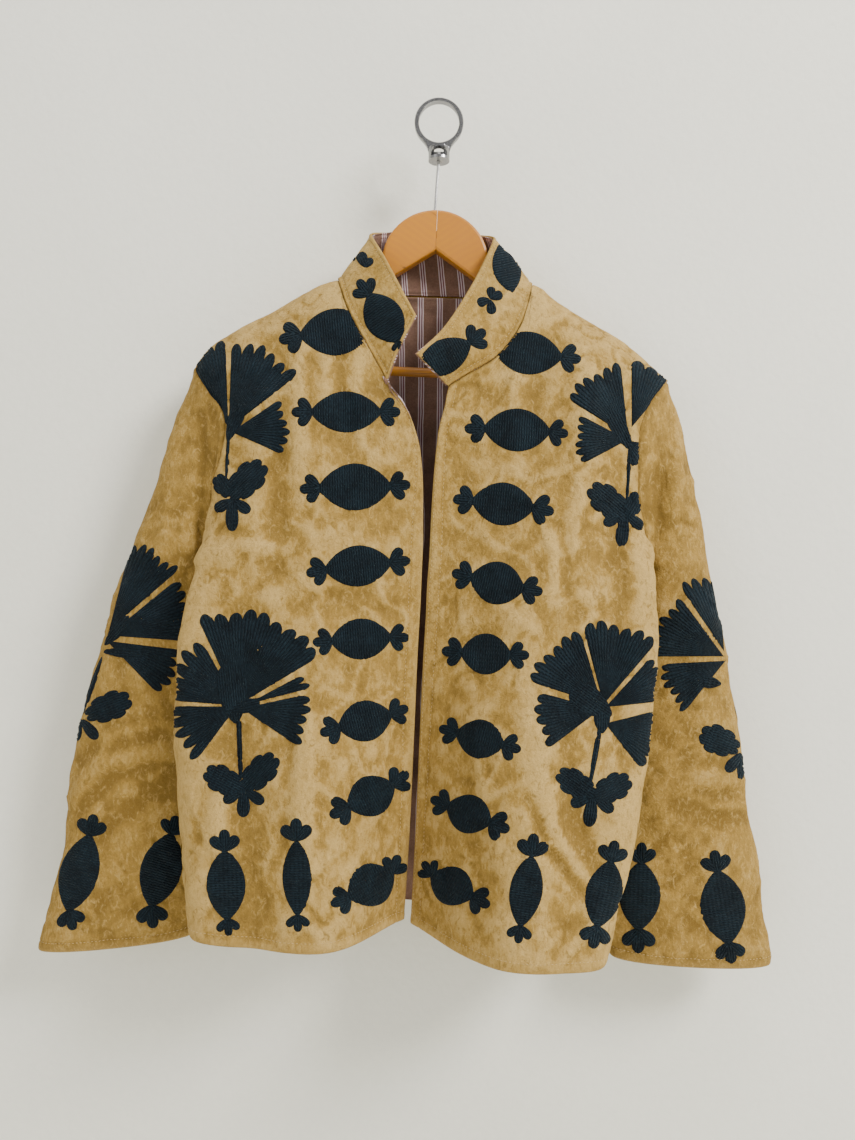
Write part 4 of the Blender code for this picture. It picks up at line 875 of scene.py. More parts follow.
def mottle_group():
    """Uneven tone at two sizes, as in worn, brushed or dyed cloth, wood and plaster."""
    if "soft_mottle" in bpy.data.node_groups:
        return bpy.data.node_groups["soft_mottle"]
    tree, given, out = node_group(
        "soft_mottle",
        [("Vector", "NodeSocketVector", None), ("Patch Scale", "NodeSocketFloat", 30.0),
         ("Fine Scale", "NodeSocketFloat", 300.0), ("Fine Share", "NodeSocketFloat", 0.4)],
        [("Tone", "NodeSocketFloat"), ("Fine", "NodeSocketFloat")],
    )
    patch = add_node(tree, "ShaderNodeTexNoise", {"Vector": given.outputs[0], "Scale": given.outputs[1],
                                                  "Detail": 4.0, "Distortion": 0.4})
    fine = add_node(tree, "ShaderNodeTexNoise", {"Vector": given.outputs[0], "Scale": given.outputs[2],
                                                 "Detail": 3.0})
    blend = add_node(tree, "ShaderNodeMix", {0: given.outputs[3], 2: patch.outputs["Fac"],
                                             3: fine.outputs["Fac"]}, data_type="FLOAT")
    tree.links.new(blend.outputs[0], out.inputs["Tone"])
    tree.links.new(fine.outputs["Fac"], out.inputs["Fine"])
    return tree


def mottle(tree, where, patch, fine, share):
    """The outputs of the mottle group at these scales, with the fine one's share."""
    return add_node(tree, "ShaderNodeGroup", {"Vector": where, "Patch Scale": patch, "Fine Scale": fine,
                                              "Fine Share": share}, node_tree=mottle_group()).outputs


def attribute(tree, name):
    return add_node(tree, "ShaderNodeAttribute", attribute_name=name).outputs["Fac"]


def dimmed(colour, share):
    return [part * share for part in colour]


def new_finish(name, roughness, **plain):
    """A material with a Principled shader. Its plain values stay on the shader's own sockets."""
    material = bpy.data.materials.new(name)
    material.use_nodes = True
    tree = material.node_tree
    shader = tree.nodes["Principled BSDF"]
    shader.inputs["Roughness"].default_value = roughness
    for key, value in plain.items():
        shader.inputs[key.replace("_", " ")].default_value = value
    return material, tree, shader


def object_place(tree):
    return add_node(tree, "ShaderNodeTexCoord").outputs["Object"]


def bump(tree, shader, height, distance, strength=1.0, under=None):
    inputs = {"Height": height, "Distance": distance, "Strength": strength}
    if under is not None:
        inputs["Normal"] = under
    item = add_node(tree, "ShaderNodeBump", inputs)
    tree.links.new(item.outputs["Normal"], shader.inputs["Normal"])
    return item.outputs["Normal"]


def velvet_finish():
    """Crushed cotton velvet: mottled, rubbed pale at its edges, with a short uneven nap, and painted light
    and shade: paler where the cloth is raised, darker where it sinks and on the sleeves.
    """
    look = bpy.context.scene.coat_cloth
    material, tree, shader = new_finish("mustard_velvet", 0.86, Sheen_Weight=look.velvet_sheen,
                                        Sheen_Roughness=0.42, Sheen_Tint=(*look.velvet_mid, 1.0),
                                        Specular_IOR_Level=0.15)
    where = object_place(tree)
    stretched = add_node(tree, "ShaderNodeMapping", {"Vector": where, "Scale": (1.0, 1.0, 0.6)})
    tone = mottle(tree, stretched.outputs[0], 46.0, 260.0, 0.5)
    # Painted light and shade, paler on raised cloth and darker on sunk cloth, mixed with random mottling
    light_shade_and_mottle = maths(tree, "ADD", maths(tree, "MULTIPLY", attribute(tree, "ridge"), 0.4),
                maths(tree, "MULTIPLY", tone["Tone"], 0.6))
    base = mix_colour(tree, ramp(tree, light_shade_and_mottle, (0.25, 0.1), (0.51, 1.0)), look.velvet_dark, look.velvet_mid)
    base = mix_colour(tree, ramp(tree, light_shade_and_mottle, (0.5, 0.0), (0.72, 0.9)), base, look.velvet_pale)
    speck = noise_at(tree, stretched.outputs[0], 210.0, 5.0, 0.68, 1.2)
    base = mix_colour(tree, ramp(tree, speck, (0.52, 0.0), (0.68, 0.6)), base, look.velvet_pale)
    base = mix_colour(tree, ramp(tree, speck, (0.32, 0.7), (0.47, 0.0)), base, look.velvet_dark)
    base = mix_colour(tree, maths(tree, "MULTIPLY", attribute(tree, "wear"), 0.5), base, look.velvet_pale)
    shade = ramp(tree, noise_at(tree, where, 900.0, 2.0), (0.3, 0.82), (0.62, 1.0))
    base = mix_colour(tree, 1.0, base, shade, "MULTIPLY")
    tree.links.new(base, shader.inputs["Base Color"])
    crush = bump(tree, shader, noise_at(tree, where, 240.0, 4.0, 0.62, 0.8), 0.0016, 0.9)
    bump(tree, shader, noise_at(tree, where, 1500.0, 2.0), 0.0004, 0.7, crush)
    return material


# Lines of one stripe: middle and half width as shares of the repeat, and the setting that colours them
STRIPE_LINES = ((0.5, 0.115, "soft_line"), (0.375, 0.032, "pale_line"),
                (0.5, 0.032, "pale_line"), (0.625, 0.032, "pale_line"))
LINE_STRENGTH = 0.8


def stripe_finish():
    """Brown cotton with groups of thin pale lines, each group white, pink and white, and a plain weave."""
    look = bpy.context.scene.coat_lining
    material, tree, shader = new_finish("striped_lining", 0.88, Sheen_Weight=0.15, Specular_IOR_Level=0.2)
    place = add_node(tree, "ShaderNodeUVMap", uv_map="cloth").outputs["UV"]
    across = add_node(tree, "ShaderNodeSeparateXYZ", {"Vector": place}).outputs["X"]
    wobble = maths(tree, "MULTIPLY", noise_at(tree, object_place(tree), 20.0), 0.0016)
    across = maths(tree, "ADD", across, wobble)
    turn = maths(tree, "FRACT", maths(tree, "DIVIDE", across, look.repeat))
    tone = mottle(tree, object_place(tree), 40.0, 700.0, 0.5)
    base = mix_colour(tree, ramp(tree, tone["Tone"], (0.35, 0.0), (0.65, 1.0)),
                      dimmed(look.ground, 0.62), look.ground)
    for centre, half, colour in STRIPE_LINES:
        off = maths(tree, "ABSOLUTE", maths(tree, "SUBTRACT", turn, centre))
        line = ramp(tree, maths(tree, "DIVIDE", off, half), (0.75, 1.0), (1.0, 0.0))
        base = mix_colour(tree, maths(tree, "MULTIPLY", line, LINE_STRENGTH), base, getattr(look, colour))
    tree.links.new(base, shader.inputs["Base Color"])
    stretch = add_node(tree, "ShaderNodeMapping", {"Vector": place, "Scale": (1400.0, 1400.0, 1.0)})
    weave = add_node(tree, "ShaderNodeTexChecker", {"Vector": stretch.outputs[0], "Scale": 1.0})
    threads = bump(tree, shader, weave.outputs["Fac"], 0.00012, 0.6)
    bump(tree, shader, noise_at(tree, object_place(tree), 120.0, 3.0), 0.0012, 0.5, threads)
    return material


def thread_finish():
    """Dark blue cotton chain stitch: rows side by side, each a run of small loops."""
    look = bpy.context.scene.coat_embroidery
    material, tree, shader = new_finish("dark_blue_thread", 0.8, Sheen_Weight=0.05, Sheen_Roughness=0.4,
                                        Sheen_Tint=(0.3, 0.45, 0.6, 1.0), Specular_IOR_Level=0.12)
    place = add_node(tree, "ShaderNodeUVMap", uv_map="cloth").outputs["UV"]
    shake = add_node(tree, "ShaderNodeTexNoise", {"Vector": object_place(tree), "Scale": 230.0,
                                                  "Detail": 2.0})
    moved = add_node(tree, "ShaderNodeVectorMath", {0: shake.outputs["Color"], 1: (0.0011, 0.0011, 0.0)},
                     operation="MULTIPLY")
    place = add_node(tree, "ShaderNodeVectorMath", {0: place, 1: moved.outputs[0]}, operation="ADD")
    parts = add_node(tree, "ShaderNodeSeparateXYZ", {"Vector": place.outputs[0]})
    row = maths(tree, "FRACT", maths(tree, "DIVIDE", parts.outputs["X"], look.row_width))
    off = maths(tree, "ABSOLUTE", maths(tree, "SUBTRACT", row, 0.5))
    loops = maths(tree, "DIVIDE", parts.outputs["Y"], look.stitch_length)
    chevron = maths(tree, "FRACT", maths(tree, "ADD", loops, maths(tree, "MULTIPLY", off, 1.1)))
    loop = maths(tree, "PINGPONG", chevron, 0.5)
    rounded = maths(tree, "SUBTRACT", 1.0, maths(tree, "POWER", maths(tree, "MULTIPLY", off, 2.0), 2.0))
    height = maths(tree, "MULTIPLY", rounded, maths(tree, "ADD", loop, 0.5))
    tone = mottle(tree, object_place(tree), 60.0, 520.0, 0.5)
    lit = ramp(tree, tone["Tone"], (0.38, 0.25), (0.62, 1.0))
    base = mix_colour(tree, lit, look.thread_dark, look.thread)
    base = mix_colour(tree, ramp(tree, height, (0.1, 0.85), (0.45, 0.0)), base, look.thread_dark)
    tree.links.new(base, shader.inputs["Base Color"])
    rows = bump(tree, shader, height, 0.0011, 1.0)
    bump(tree, shader, tone["Fine"], 0.0004, 0.6, rows)
    return material


def sewing_finish():
    """Pale mustard sewing thread."""
    look = bpy.context.scene.coat_cloth
    material, tree, shader = new_finish("sewing_thread", 0.65, Sheen_Weight=0.2)
    twist = ramp(tree, noise_at(tree, object_place(tree), 2500.0, 2.0), (0.35, 0.75), (0.65, 1.0))
    tree.links.new(mix_colour(tree, 1.0, look.velvet_pale, twist, "MULTIPLY"), shader.inputs["Base Color"])
    bump(tree, shader, noise_at(tree, object_place(tree), 3000.0, 1.0), 0.0001, 0.5)
    return material


def grain_group():
    """Wood grain along the Object X axis: growth lines, dark streaks and pores."""
    if "wood_grain" in bpy.data.node_groups:
        return bpy.data.node_groups["wood_grain"]
    tree, given, out = node_group(
        "wood_grain",
        [("Vector", "NodeSocketVector", None), ("Ring Scale", "NodeSocketFloat", 60.0)],
        [("Rings", "NodeSocketFloat"), ("Streaks", "NodeSocketFloat"), ("Pores", "NodeSocketFloat")],
    )
    rings = add_node(tree, "ShaderNodeTexWave", {"Vector": given.outputs[0], "Scale": given.outputs[1],
                                                 "Distortion": 5.0, "Detail": 3.0, "Detail Scale": 0.6},
                     bands_direction="Z")
    long = add_node(tree, "ShaderNodeMapping", {"Vector": given.outputs[0], "Scale": (0.05, 1.0, 1.0)})
    streak = add_node(tree, "ShaderNodeTexNoise", {"Vector": long.outputs[0], "Scale": 210.0,
                                                   "Detail": 3.0})
    dark = add_node(tree, "ShaderNodeMapRange", {"Value": streak.outputs["Fac"], "From Min": 0.66,
                                                 "From Max": 0.76})
    pores = add_node(tree, "ShaderNodeTexNoise", {"Vector": long.outputs[0], "Scale": 1500.0,
                                                  "Detail": 2.0})
    tree.links.new(rings.outputs["Fac"], out.inputs["Rings"])
    tree.links.new(dark.outputs[0], out.inputs["Streaks"])
    tree.links.new(pores.outputs["Fac"], out.inputs["Pores"])
    return tree


WOOD_STREAK = (0.06, 0.025, 0.008)
# How much duller pores of the wood and rub marks of the steel are
DULLED = 0.12


def wood_finish(name, slope, shift, share):
    """Varnished orange-brown wood, its grain along the arm. A share below 1 darkens its colours, painted
    shade on a copy of the same wood.
    """
    look = bpy.context.scene.coat_hanger
    material, tree, shader = new_finish(name, look.wood_roughness, Coat_Weight=0.08, Coat_Roughness=0.25,
                                        Specular_IOR_Level=0.3)
    along = add_node(tree, "ShaderNodeMapping", {"Vector": object_place(tree), "Location": (0.0, 0.0, shift),
                                                 "Rotation": (0.0, slope, 0.0)}).outputs[0]
    grain = add_node(tree, "ShaderNodeGroup", {"Vector": along, "Ring Scale": 55.0},
                     node_tree=grain_group()).outputs
    tone = mottle(tree, along, 25.0, 200.0, 0.3)
    # Painted shade: share darkens both wood colours
    light, dark = dimmed(look.wood_light, share), dimmed(look.wood_dark, share)
    base = mix_colour(tree, maths(tree, "MULTIPLY", grain["Rings"], 0.35), light, dark)
    base = mix_colour(tree, ramp(tree, tone["Tone"], (0.35, 0.35), (0.65, 0.0)), base, dark)
    base = mix_colour(tree, maths(tree, "MULTIPLY", grain["Streaks"], 0.8), base, WOOD_STREAK)
    tree.links.new(base, shader.inputs["Base Color"])
    rough = ramp(tree, grain["Pores"], (0.3, look.wood_roughness + DULLED), (0.7, look.wood_roughness))
    tree.links.new(rough, shader.inputs["Roughness"])
    bump(tree, shader, grain["Pores"], 0.00012, 0.4)
    return material


def steel_finish(name, grey, roughness):
    """Polished steel with fine rub marks."""
    material, tree, shader = new_finish(name, roughness, Metallic=1.0)
    where = object_place(tree)
    tone = mottle(tree, where, 90.0, 1200.0, 0.4)
    base = mix_colour(tree, ramp(tree, tone["Tone"], (0.35, 0.0), (0.65, 1.0)), dimmed(grey, 0.8), grey)
    tree.links.new(base, shader.inputs["Base Color"])
    tree.links.new(ramp(tree, tone["Tone"], (0.35, roughness + DULLED), (0.65, roughness)),
                   shader.inputs["Roughness"])
    bump(tree, shader, tone["Fine"], 0.00004, 0.5)
    return material


# The front view: where its camera stands, and how far one of its steps reaches at the wall
VIEW_X = -10.35
VIEW_Y = -800.0
VIEW_Z = -420.3
VIEW_STEP = 0.9
VIEW_MIDDLE = (427.5, 570.0)
STEP_MM = 0.85
# The height of the view at the hanger, and of the camera's sensor
VIEW_HEIGHT = 1026.0
SENSOR_MM = 24.0

# Lens motifs with a three-petalled tuft at each end, in steps of the front view:
# middle, half sizes, tilt up to the right in degrees, tuft sizes, and how far each tuft turns
# Columns: x y half_long half_wide tilt tuft_a tuft_b turn_a turn_b
LENSES = {
    "front_left": (
        (336, 332, 38, 24, 5, 17, 17, 8, 0), (346, 412, 37, 21, 0, 15, 15, 0, 0),
        (355, 487, 38, 24, 1, 15, 15, 4, 4), (358, 566, 35, 21, 6, 15, 15, 6, 0),
        (361, 639, 32, 21, 4, 14, 14, 0, -6), (365, 721, 29, 21, 14, 15, 14, 4, 8),
        (371, 796, 27, 21, 26, 16, 15, 0, 14), (371, 885, 27, 22, 29, 15, 14, -6, 40),
        (226, 885, 37, 20, 92, 12, 16, 4, 0), (297, 878, 40, 15, 91, 12, 17, 0, 0),
    ),
    "front_right": (
        (528, 353, 36, 22, -7, 15, 15, 0, 0), (517, 430, 35, 22, -3, 15, 14, 4, -4),
        (503, 504, 33, 22, -6, 15, 16, 0, -8), (497, 583, 29, 22, -13, 15, 15, 0, 4),
        (486, 654, 27, 21, -4, 15, 14, 0, 6), (480, 739, 26, 20, -15, 14, 14, 0, 0),
        (469, 814, 25, 20, -22, 14, 16, 0, 0), (452, 886, 25, 20, -28, 12, 15, -26, 0),
        (526, 891, 38, 17, 81, 13, 17, 0, 2), (604, 894, 36, 19, 78, 17, 16, 0, 0),
    ),
    "sleeve_left": (
        (79, 873, 42, 20, 74, 15, 16, 30, 4), (161, 870, 40, 21, 74, 17, 14, 22, 0),
    ),
    "sleeve_right": (
        (640, 896, 36, 21, 88, 18, 15, 0, 0), (723, 907, 39, 23, 99, 16, 16, 0, 0),
    ),
    "collar": (
        (384, 318, 30, 20, -58, 14, 8, 6, -16), (444, 357, 32, 18, 29, 0, 15, 0, 10),
        (507, 267, 27, 15, -78, 0, 0, 0, 0),
    ),
}

# Fans with a scalloped rim, from their root: where they start and end in degrees, radius, scallops
# and how deep these are as a share of the radius
# Columns: x y start end radius lobes depth
FANS = {
    "front_left": (
        (238, 706, 31, 115, 96, 9, 0.09), (238, 706, 118.5, 176, 77, 5, 0.2),
        (238, 706, 179.5, 233, 71, 5, 0.2), (240, 707, 14.5, 28, 72, 2, 0.12),
        (240, 708, -34, 12, 70, 5, 0.12), (228, 430, 38, 88, 90, 6, 0.13),
        (230, 432, -24, 34, 59, 6, 0.12), (229, 428, 92, 134, 90, 5, 0.1),
    ),
    "front_right": (
        (603, 706, 49.5, 104.5, 84, 6, 0.1), (603, 706, 106.5, 162, 79, 6, 0.11),
        (602, 709, 164.5, 217, 67, 5, 0.11), (604, 708, 6, 48, 68, 5, 0.1),
        (604, 723, -52, 14, 58, 5, 0.1), (629, 438, 96, 148, 75, 6, 0.12),
        (629, 440, 152, 208, 54, 6, 0.13), (631, 429, 50, 90, 68, 3, 0.08),
        (626, 440, -80, -6, 29, 3, 0.1),
    ),
    "sleeve_left": (
        (108, 632, 41, 76, 94, 6, 0.1), (106, 636, -4, 39, 90, 6, 0.1), (105, 640, -46, -7, 78, 5, 0.1),
    ),
    "sleeve_right": (
        (725, 654, 94, 124, 82, 4, 0.14), (725, 657, 126.5, 180, 76, 6, 0.13),
        (727, 660, 183, 231, 68, 6, 0.13),
    ),
}
# Lobed leaves: root, direction, length, width and lobes round the rim
# Columns: x y turn length width lobes
LEAVES = {
    "front_left": (
        (245, 792, 152, 47, 31, 8), (241, 792, 46, 52, 32, 8), (227, 500, 45, 54, 34, 8),
        (230, 498, 122, 28, 20, 6),
    ),
    "front_right": (
        (598, 799, 146, 50, 30, 8), (591, 799, 27, 46, 31, 8), (630, 520, 140, 54, 33, 8),
        (625, 520, 62, 32, 22, 6),
    ),
    "sleeve_left": ((84, 717, 22, 52, 32, 8),),
    "sleeve_right": ((741, 750, 157, 46, 33, 8),),
}
# Loose petals, stems, the middles of the fans and the tufts under the leaves: root, direction, size
# Columns: x y turn length width
PETALS = {
    "front_left": (
        (238, 700, -88, 92, 6), (236, 724, 96, 62, 40), (222, 712, 14, 40, 18),
        (229, 424, -93, 66, 4.5), (227, 442, 70, 44, 20), (244, 788, -92, 30, 17),
        (244, 789, -36, 25, 15), (244, 789, -148, 25, 15), (232, 494, -90, 38, 17),
        (232, 499, -36, 23, 15), (232, 499, -146, 21, 15),
    ),
    "front_right": (
        (602, 716, -100, 76, 6.5), (602, 734, 90, 24, 21), (612, 716, 146, 50, 36),
        (631, 424, -93, 84, 5), (632, 452, 118, 52, 22), (593, 792, -97, 36, 18),
        (593, 795, -40, 27, 16), (593, 795, -156, 25, 16), (625, 508, -96, 40, 17),
        (625, 513, -40, 25, 15), (625, 513, -152, 25, 15),
    ),
    "sleeve_left": (
        (99, 651, -4, 52, 15), (103, 654, -109, 66, 6), (104, 646, 50, 40, 18), (80, 718, -50, 28, 15),
        (80, 718, -100, 25, 12),
    ),
    "sleeve_right": (
        (722, 684, 172, 22, 16), (731, 676, -80, 68, 5), (742, 752, -128, 26, 15),
        (742, 752, -92, 28, 12),
    ),
    "collar": (
        (366, 268, 112, 18, 15), (366, 268, 60, 12, 10), (354, 262, 100, 13, 11),
        (490, 299, 24, 14, 13), (490, 299, 200, 14, 13), (490, 299, -82, 16, 13),
        (491, 300, 90, 14, 12),
    ),
}
# The petals of a tuft: their turns, how far their roots lie inside the lens, and what that adds to them
TUFT_TURNS = (-43, 0, 43)
TUFT_SINK = 3.5
TUFT_ROOT = 4.5
LENS_SHARPNESS = 1.7
LEAF_LOBE_DEPTH = 0.17
# How far a motif's rim lies in the cloth, and the halvings that find the cloth's edge
RIM_SINK = 0.25
HALVINGS = 7


class Motif:
    """A patch of stitching: a grid of ring share and radius share, both from 0 to 1."""

    def __init__(self, x, y, turn, size, rings, steps):
        self.x, self.y, self.turn, self.size = x, y, math.radians(turn), size
        self.rings, self.steps = rings, steps

    def spread(self, s, t):
        """Across and along, and the share of full height, at a ring share and a radius share."""
        raise NotImplementedError

    def in_view(self, s, t):
        across, along, rise = self.spread(s, t)
        cos, sin = math.cos(self.turn), math.sin(self.turn)
        return self.x + across * cos - along * sin, self.y - across * sin - along * cos, across, along, rise


class Lens(Motif):
    """A pointed oval."""

    def __init__(self, x, y, turn, half_long, half_wide):
        super().__init__(x, y, turn, half_wide, 64, max(6, int(half_wide / 1.5)))
        self.half_long, self.half_wide = half_long, half_wide

    def spread(self, s, t):
        angle = 2 * math.pi * s
        rim = np.sign(np.sin(angle)) * np.abs(np.sin(angle)) ** LENS_SHARPNESS
        rise = ease((1 - t) * self.size / 2.0)
        return t * self.half_long * np.cos(angle), t * self.half_wide * rim, rise


class Petal(Motif):
    """A rounded petal that widens from its root."""

    def __init__(self, x, y, turn, length, width):
        super().__init__(x, y, turn, width / 2, 26, max(3, int(width / 3.2)))
        self.length, self.width = length, width

    def spread(self, s, t):
        angle = 2 * math.pi * s
        along = self.length / 2 * (1 + t * np.cos(angle))
        widen = 0.78 + 0.3 * np.cos(angle) if self.length < 4 * self.width else 1.0
        rise = ease((1 - t) * self.size / 1.8)
        return along, t * self.width / 2 * np.sin(angle) * widen, rise


class Leaf(Motif):
    """A leaf with rounded lobes all round."""

    def __init__(self, x, y, turn, length, width, lobes):
        super().__init__(x, y, turn, width / 2, int(lobes) * 8, max(5, int(width / 3.2)))
        self.length, self.width, self.lobes = length, width, lobes

    def spread(self, s, t):
        angle = 2 * math.pi * s
        wave = np.abs(np.sin(angle * self.lobes / 2)) ** 0.6
        reach = t * (1 - LEAF_LOBE_DEPTH * (1 - wave) * t)
        rise = ease((1 - t) * self.size / 1.8)
        along = self.length / 2 * (1 + reach * np.cos(angle))
        return along, reach * self.width / 2 * np.sin(angle) * (0.94 + 0.12 * np.cos(angle)), rise


class Fan(Motif):
    """A sector with a scalloped rim, stitched in rows from its root."""

    def __init__(self, x, y, start, end, radius, lobes, depth):
        super().__init__(x, y, start, radius, int(lobes) * 10, max(8, int(radius / 2.4)))
        self.arc, self.lobes, self.depth = math.radians(end - start), lobes, depth

    def spread(self, s, t):
        wave = np.abs(np.sin(math.pi * self.lobes * s)) ** 0.55
        uneven = 1 + 0.03 * np.sin(1.7 * s * self.lobes + self.x)
        radius = self.size * uneven * (1 - self.depth * (1 - wave) * t**2)
        reach = t * radius
        side = np.minimum(s, 1 - s) * self.arc * reach
        rise = ease((1 - t) * self.size / 2.2) * ease(side / 1.8)
        ribs = 0.12 * (wave - 0.5) * ease(t * 1.4)
        return reach * np.cos(self.arc * s), reach * np.sin(self.arc * s), rise * (0.88 + ribs)


def motifs_of(name):
    """The motifs of a cloth piece, from the table of each kind."""
    lenses, fans, leaves, petals = (np.array(kind.get(name, ()), float)
                                    for kind in (LENSES, FANS, LEAVES, PETALS))
    found = []
    for x, y, half_long, half_wide, tilt, *tufts in lenses:
        found.append(Lens(x, y, tilt, half_long, half_wide))
        root = math.radians(tilt)
        for side, tuft, extra in ((-1, tufts[0], tufts[2]), (1, tufts[1], tufts[3])):
            reach = side * (half_long - TUFT_SINK)
            base = tilt + (180 if side < 0 else 0) + extra
            for turn in TUFT_TURNS if tuft else ():
                long = tuft * (1.15 if turn == 0 else 1.0) + TUFT_ROOT
                found.append(Petal(x + reach * math.cos(root), y - reach * math.sin(root), base + turn,
                                   long, 0.92 * tuft))
    for make, rows in ((Fan, fans), (Leaf, leaves), (Petal, petals)):
        found += [make(*row) for row in rows]
    return found


def view_ray(x, y, side):
    """The ray of the front view through a step, or of the same view from behind where side is -1."""
    eye = np.array([VIEW_X, VIEW_Y * side, VIEW_Z])
    target = np.array([(x - VIEW_MIDDLE[0]) * VIEW_STEP + VIEW_X, 0.0,
                       VIEW_Z - (y - VIEW_MIDDLE[1]) * VIEW_STEP])
    return Vector(eye * MM), Vector((target - eye) * MM).normalized()


def stitch_on(bm, motif, tree, side, lift):
    """Lays a motif on a cloth as seen in the front view, held at the cloth's own edges."""
    made = bmesh.ops.create_grid(bm, x_segments=motif.rings, y_segments=motif.steps, size=0.5)["verts"]
    s = np.round((np.array([vert.co.x for vert in made]) + 0.5) * motif.rings) / motif.rings
    t = np.round((np.array([vert.co.y for vert in made]) + 0.5) * motif.steps) / motif.steps
    x, y, across, along, rise = motif.in_view(s, t)

    def hit(px, py):
        """Where the view's ray through a step meets the cloth, and the normal on that side."""
        eye, ray = view_ray(px, py, side)
        spot, normal, _, _ = tree.ray_cast(eye, ray)
        return None if spot is None else (spot, normal if normal.dot(ray) < 0 else -normal)

    lost = []
    for k, vert in enumerate(made):
        found, height = hit(x[k], y[k]), rise[k]
        if found is None:
            # Beyond the cloth: back towards the motif's root, as far as the cloth's own edge
            low, high, height = 0.0, float(t[k]), 0.0
            for _ in range(HALVINGS):
                middle = (low + high) / 2
                px, py, *_ = motif.in_view(np.array([s[k]]), np.array([middle]))
                tried = hit(px[0], py[0])
                low, high, found = (middle, high, tried) if tried else (low, middle, found)
        if found is None:
            lost.append(vert)
            continue
        spot, normal = found
        vert.co = spot + normal * ((lift + RIM_SINK) * height - RIM_SINK) * MM
    uv = bm.loops.layers.uv["cloth"]
    places = {vert: (float(a) * STEP_MM * MM, float(b) * STEP_MM * MM)
              for vert, a, b in zip(made, across, along)}
    if isinstance(motif, Fan):
        turn = motif.arc * s * motif.size * 0.62
        places = {vert: (float(a) * STEP_MM * MM, float(b) * motif.size * STEP_MM * MM)
                  for vert, a, b in zip(made, turn, t)}
    elif isinstance(motif, (Petal, Leaf)):
        places = {vert: (b, a) for vert, (a, b) in places.items()}
    for face in {face for vert in made for face in vert.link_faces}:
        for loop in face.loops:
            loop[uv].uv = places[loop.vert]
    bmesh.ops.delete(bm, geom=lost, context="VERTS")


def embroider(name, cloth, motifs, side, lift, material):
    """One piece of raised stitching on a cloth piece."""
    tree = BVHTree.FromPolygons([vert.co for vert in cloth.data.vertices],
                                [face.vertices for face in cloth.data.polygons])
    bm = bmesh.new()
    bm.loops.layers.uv.new("cloth")
    for motif in motifs:
        stitch_on(bm, motif, tree, side, lift)
    bmesh.ops.remove_doubles(bm, verts=bm.verts, dist=0.00001)
    bmesh.ops.dissolve_degenerate(bm, edges=bm.edges, dist=0.000005)
    bm.normal_update()
    facing = Vector((0.0, -side, 0.0))
    wrong = [face for face in bm.faces if face.normal.dot(facing) < 0]
    bmesh.ops.reverse_faces(bm, faces=wrong)
    link_piece(name, bm, [material])


def lay_front(side):
    columns = cells((0, 0.004, 2), (0.004, 0.10, 16), (0.10, 0.985, 78), (0.985, 1, 4))
    rows = cells((0, 0.004, 2), (0.004, 0.035, 6), (0.035, 0.6, 100), (0.6, 0.985, 84), (0.985, 1, 4))
    return LaidCloth(columns, rows, lambda u, v: front_surface(side, u, v), front_relief,
                     -1.0 if side == "left" else 1.0)


def lay_back():
    columns = cells((0, 0.006, 4), (0.006, 0.994, 170), (0.994, 1, 4))
    rows = cells((0, 0.004, 2), (0.004, 0.035, 6), (0.035, 0.6, 92), (0.6, 0.985, 76), (0.985, 1, 4))
    return LaidCloth(columns, rows, back_surface, back_relief, -1.0)


def lay_sleeve(side):
    rows = cells((0, 0.1, 4), (0.1, 8.75, 158), (8.75, 8.96, 8), (8.96, SLEEVE_LAST_ROW, 3))
    sign = 1.0 if side == "right" else -1.0
    return LaidCloth(np.linspace(0, 1, 121), rows,
                     lambda turn, row: sleeve_surface(side, turn, row), sleeve_relief, sign, True)


def lay_collar():
    columns = cells((0, 0.02, 8), (0.02, 0.98, 190), (0.98, 1, 8))
    rows = cells((0, 0.12, 8), (0.12, 0.88, 24), (0.88, 1, 10))
    return LaidCloth(columns, rows, collar_surface, collar_relief, -1.0)


def stitch_line(bm, spots, normals, length, gap, thick):
    """Small raised stitches along a line on cloth."""
    steps = np.linalg.norm(np.diff(spots, axis=0), axis=1)
    reach = np.concatenate([[0], np.cumsum(steps)])
    for start in np.arange(gap, reach[-1] - length, length + gap):
        ends = [np.array([np.interp(at, reach, spots[:, k]) for k in range(3)])
                for at in (start, start + length)]
        up = Vector([np.interp(start + length / 2, reach, normals[:, k]) for k in range(3)]).normalized()
        along = Vector(ends[1] - ends[0])
        side = up.cross(along).normalized()
        lift = along.normalized().cross(side).normalized()
        turn = Matrix((along.normalized(), side, lift)).transposed().to_4x4()
        size = Matrix.Diagonal((length / 2, thick / 2, thick / 2.4, 1.0))
        middle = Matrix.Translation(Vector((ends[0] + ends[1]) / 2) + lift * 0.1)
        bmesh.ops.create_icosphere(bm, subdivisions=1, radius=1.0,
                                   matrix=Matrix.Scale(MM, 4) @ middle @ turn @ size)


def line_beside(cloth, edge, away):
    """Points and normals of laid cloth on a line that runs a set distance from one of its edges."""
    near, points, normals = cloth.near[edge], cloth.points, cloth.normals
    if edge in ("foot", "top"):
        near, points, normals = near.T, points.transpose(1, 0, 2), normals.transpose(1, 0, 2)
    picked = []
    for row, spots, ups in zip(near, points, normals):
        order = np.argsort(row)
        picked.append([np.interp(away, row[order], part[order, k])
                       for part in (spots, ups) for k in range(3)])
    picked = np.array(picked)
    return picked[:, :3], picked[:, 3:]


# One stitch of the topstitching: its length, the gap to the next and its thickness
STITCH = (2.3, 1.1, 0.55)


def sew(name, cloth, lines, material):
    """Topstitching on laid cloth. A line has its edge, its distance, and where it starts and ends."""
    bm = bmesh.new()
    for edge, away, first, last in lines:
        spots, normals = line_beside(cloth, edge, away)
        part = slice(int(first * len(spots)), int(last * len(spots)))
        stitch_line(bm, spots[part], normals[part], *STITCH)
    return link_piece(name, bm, [material])


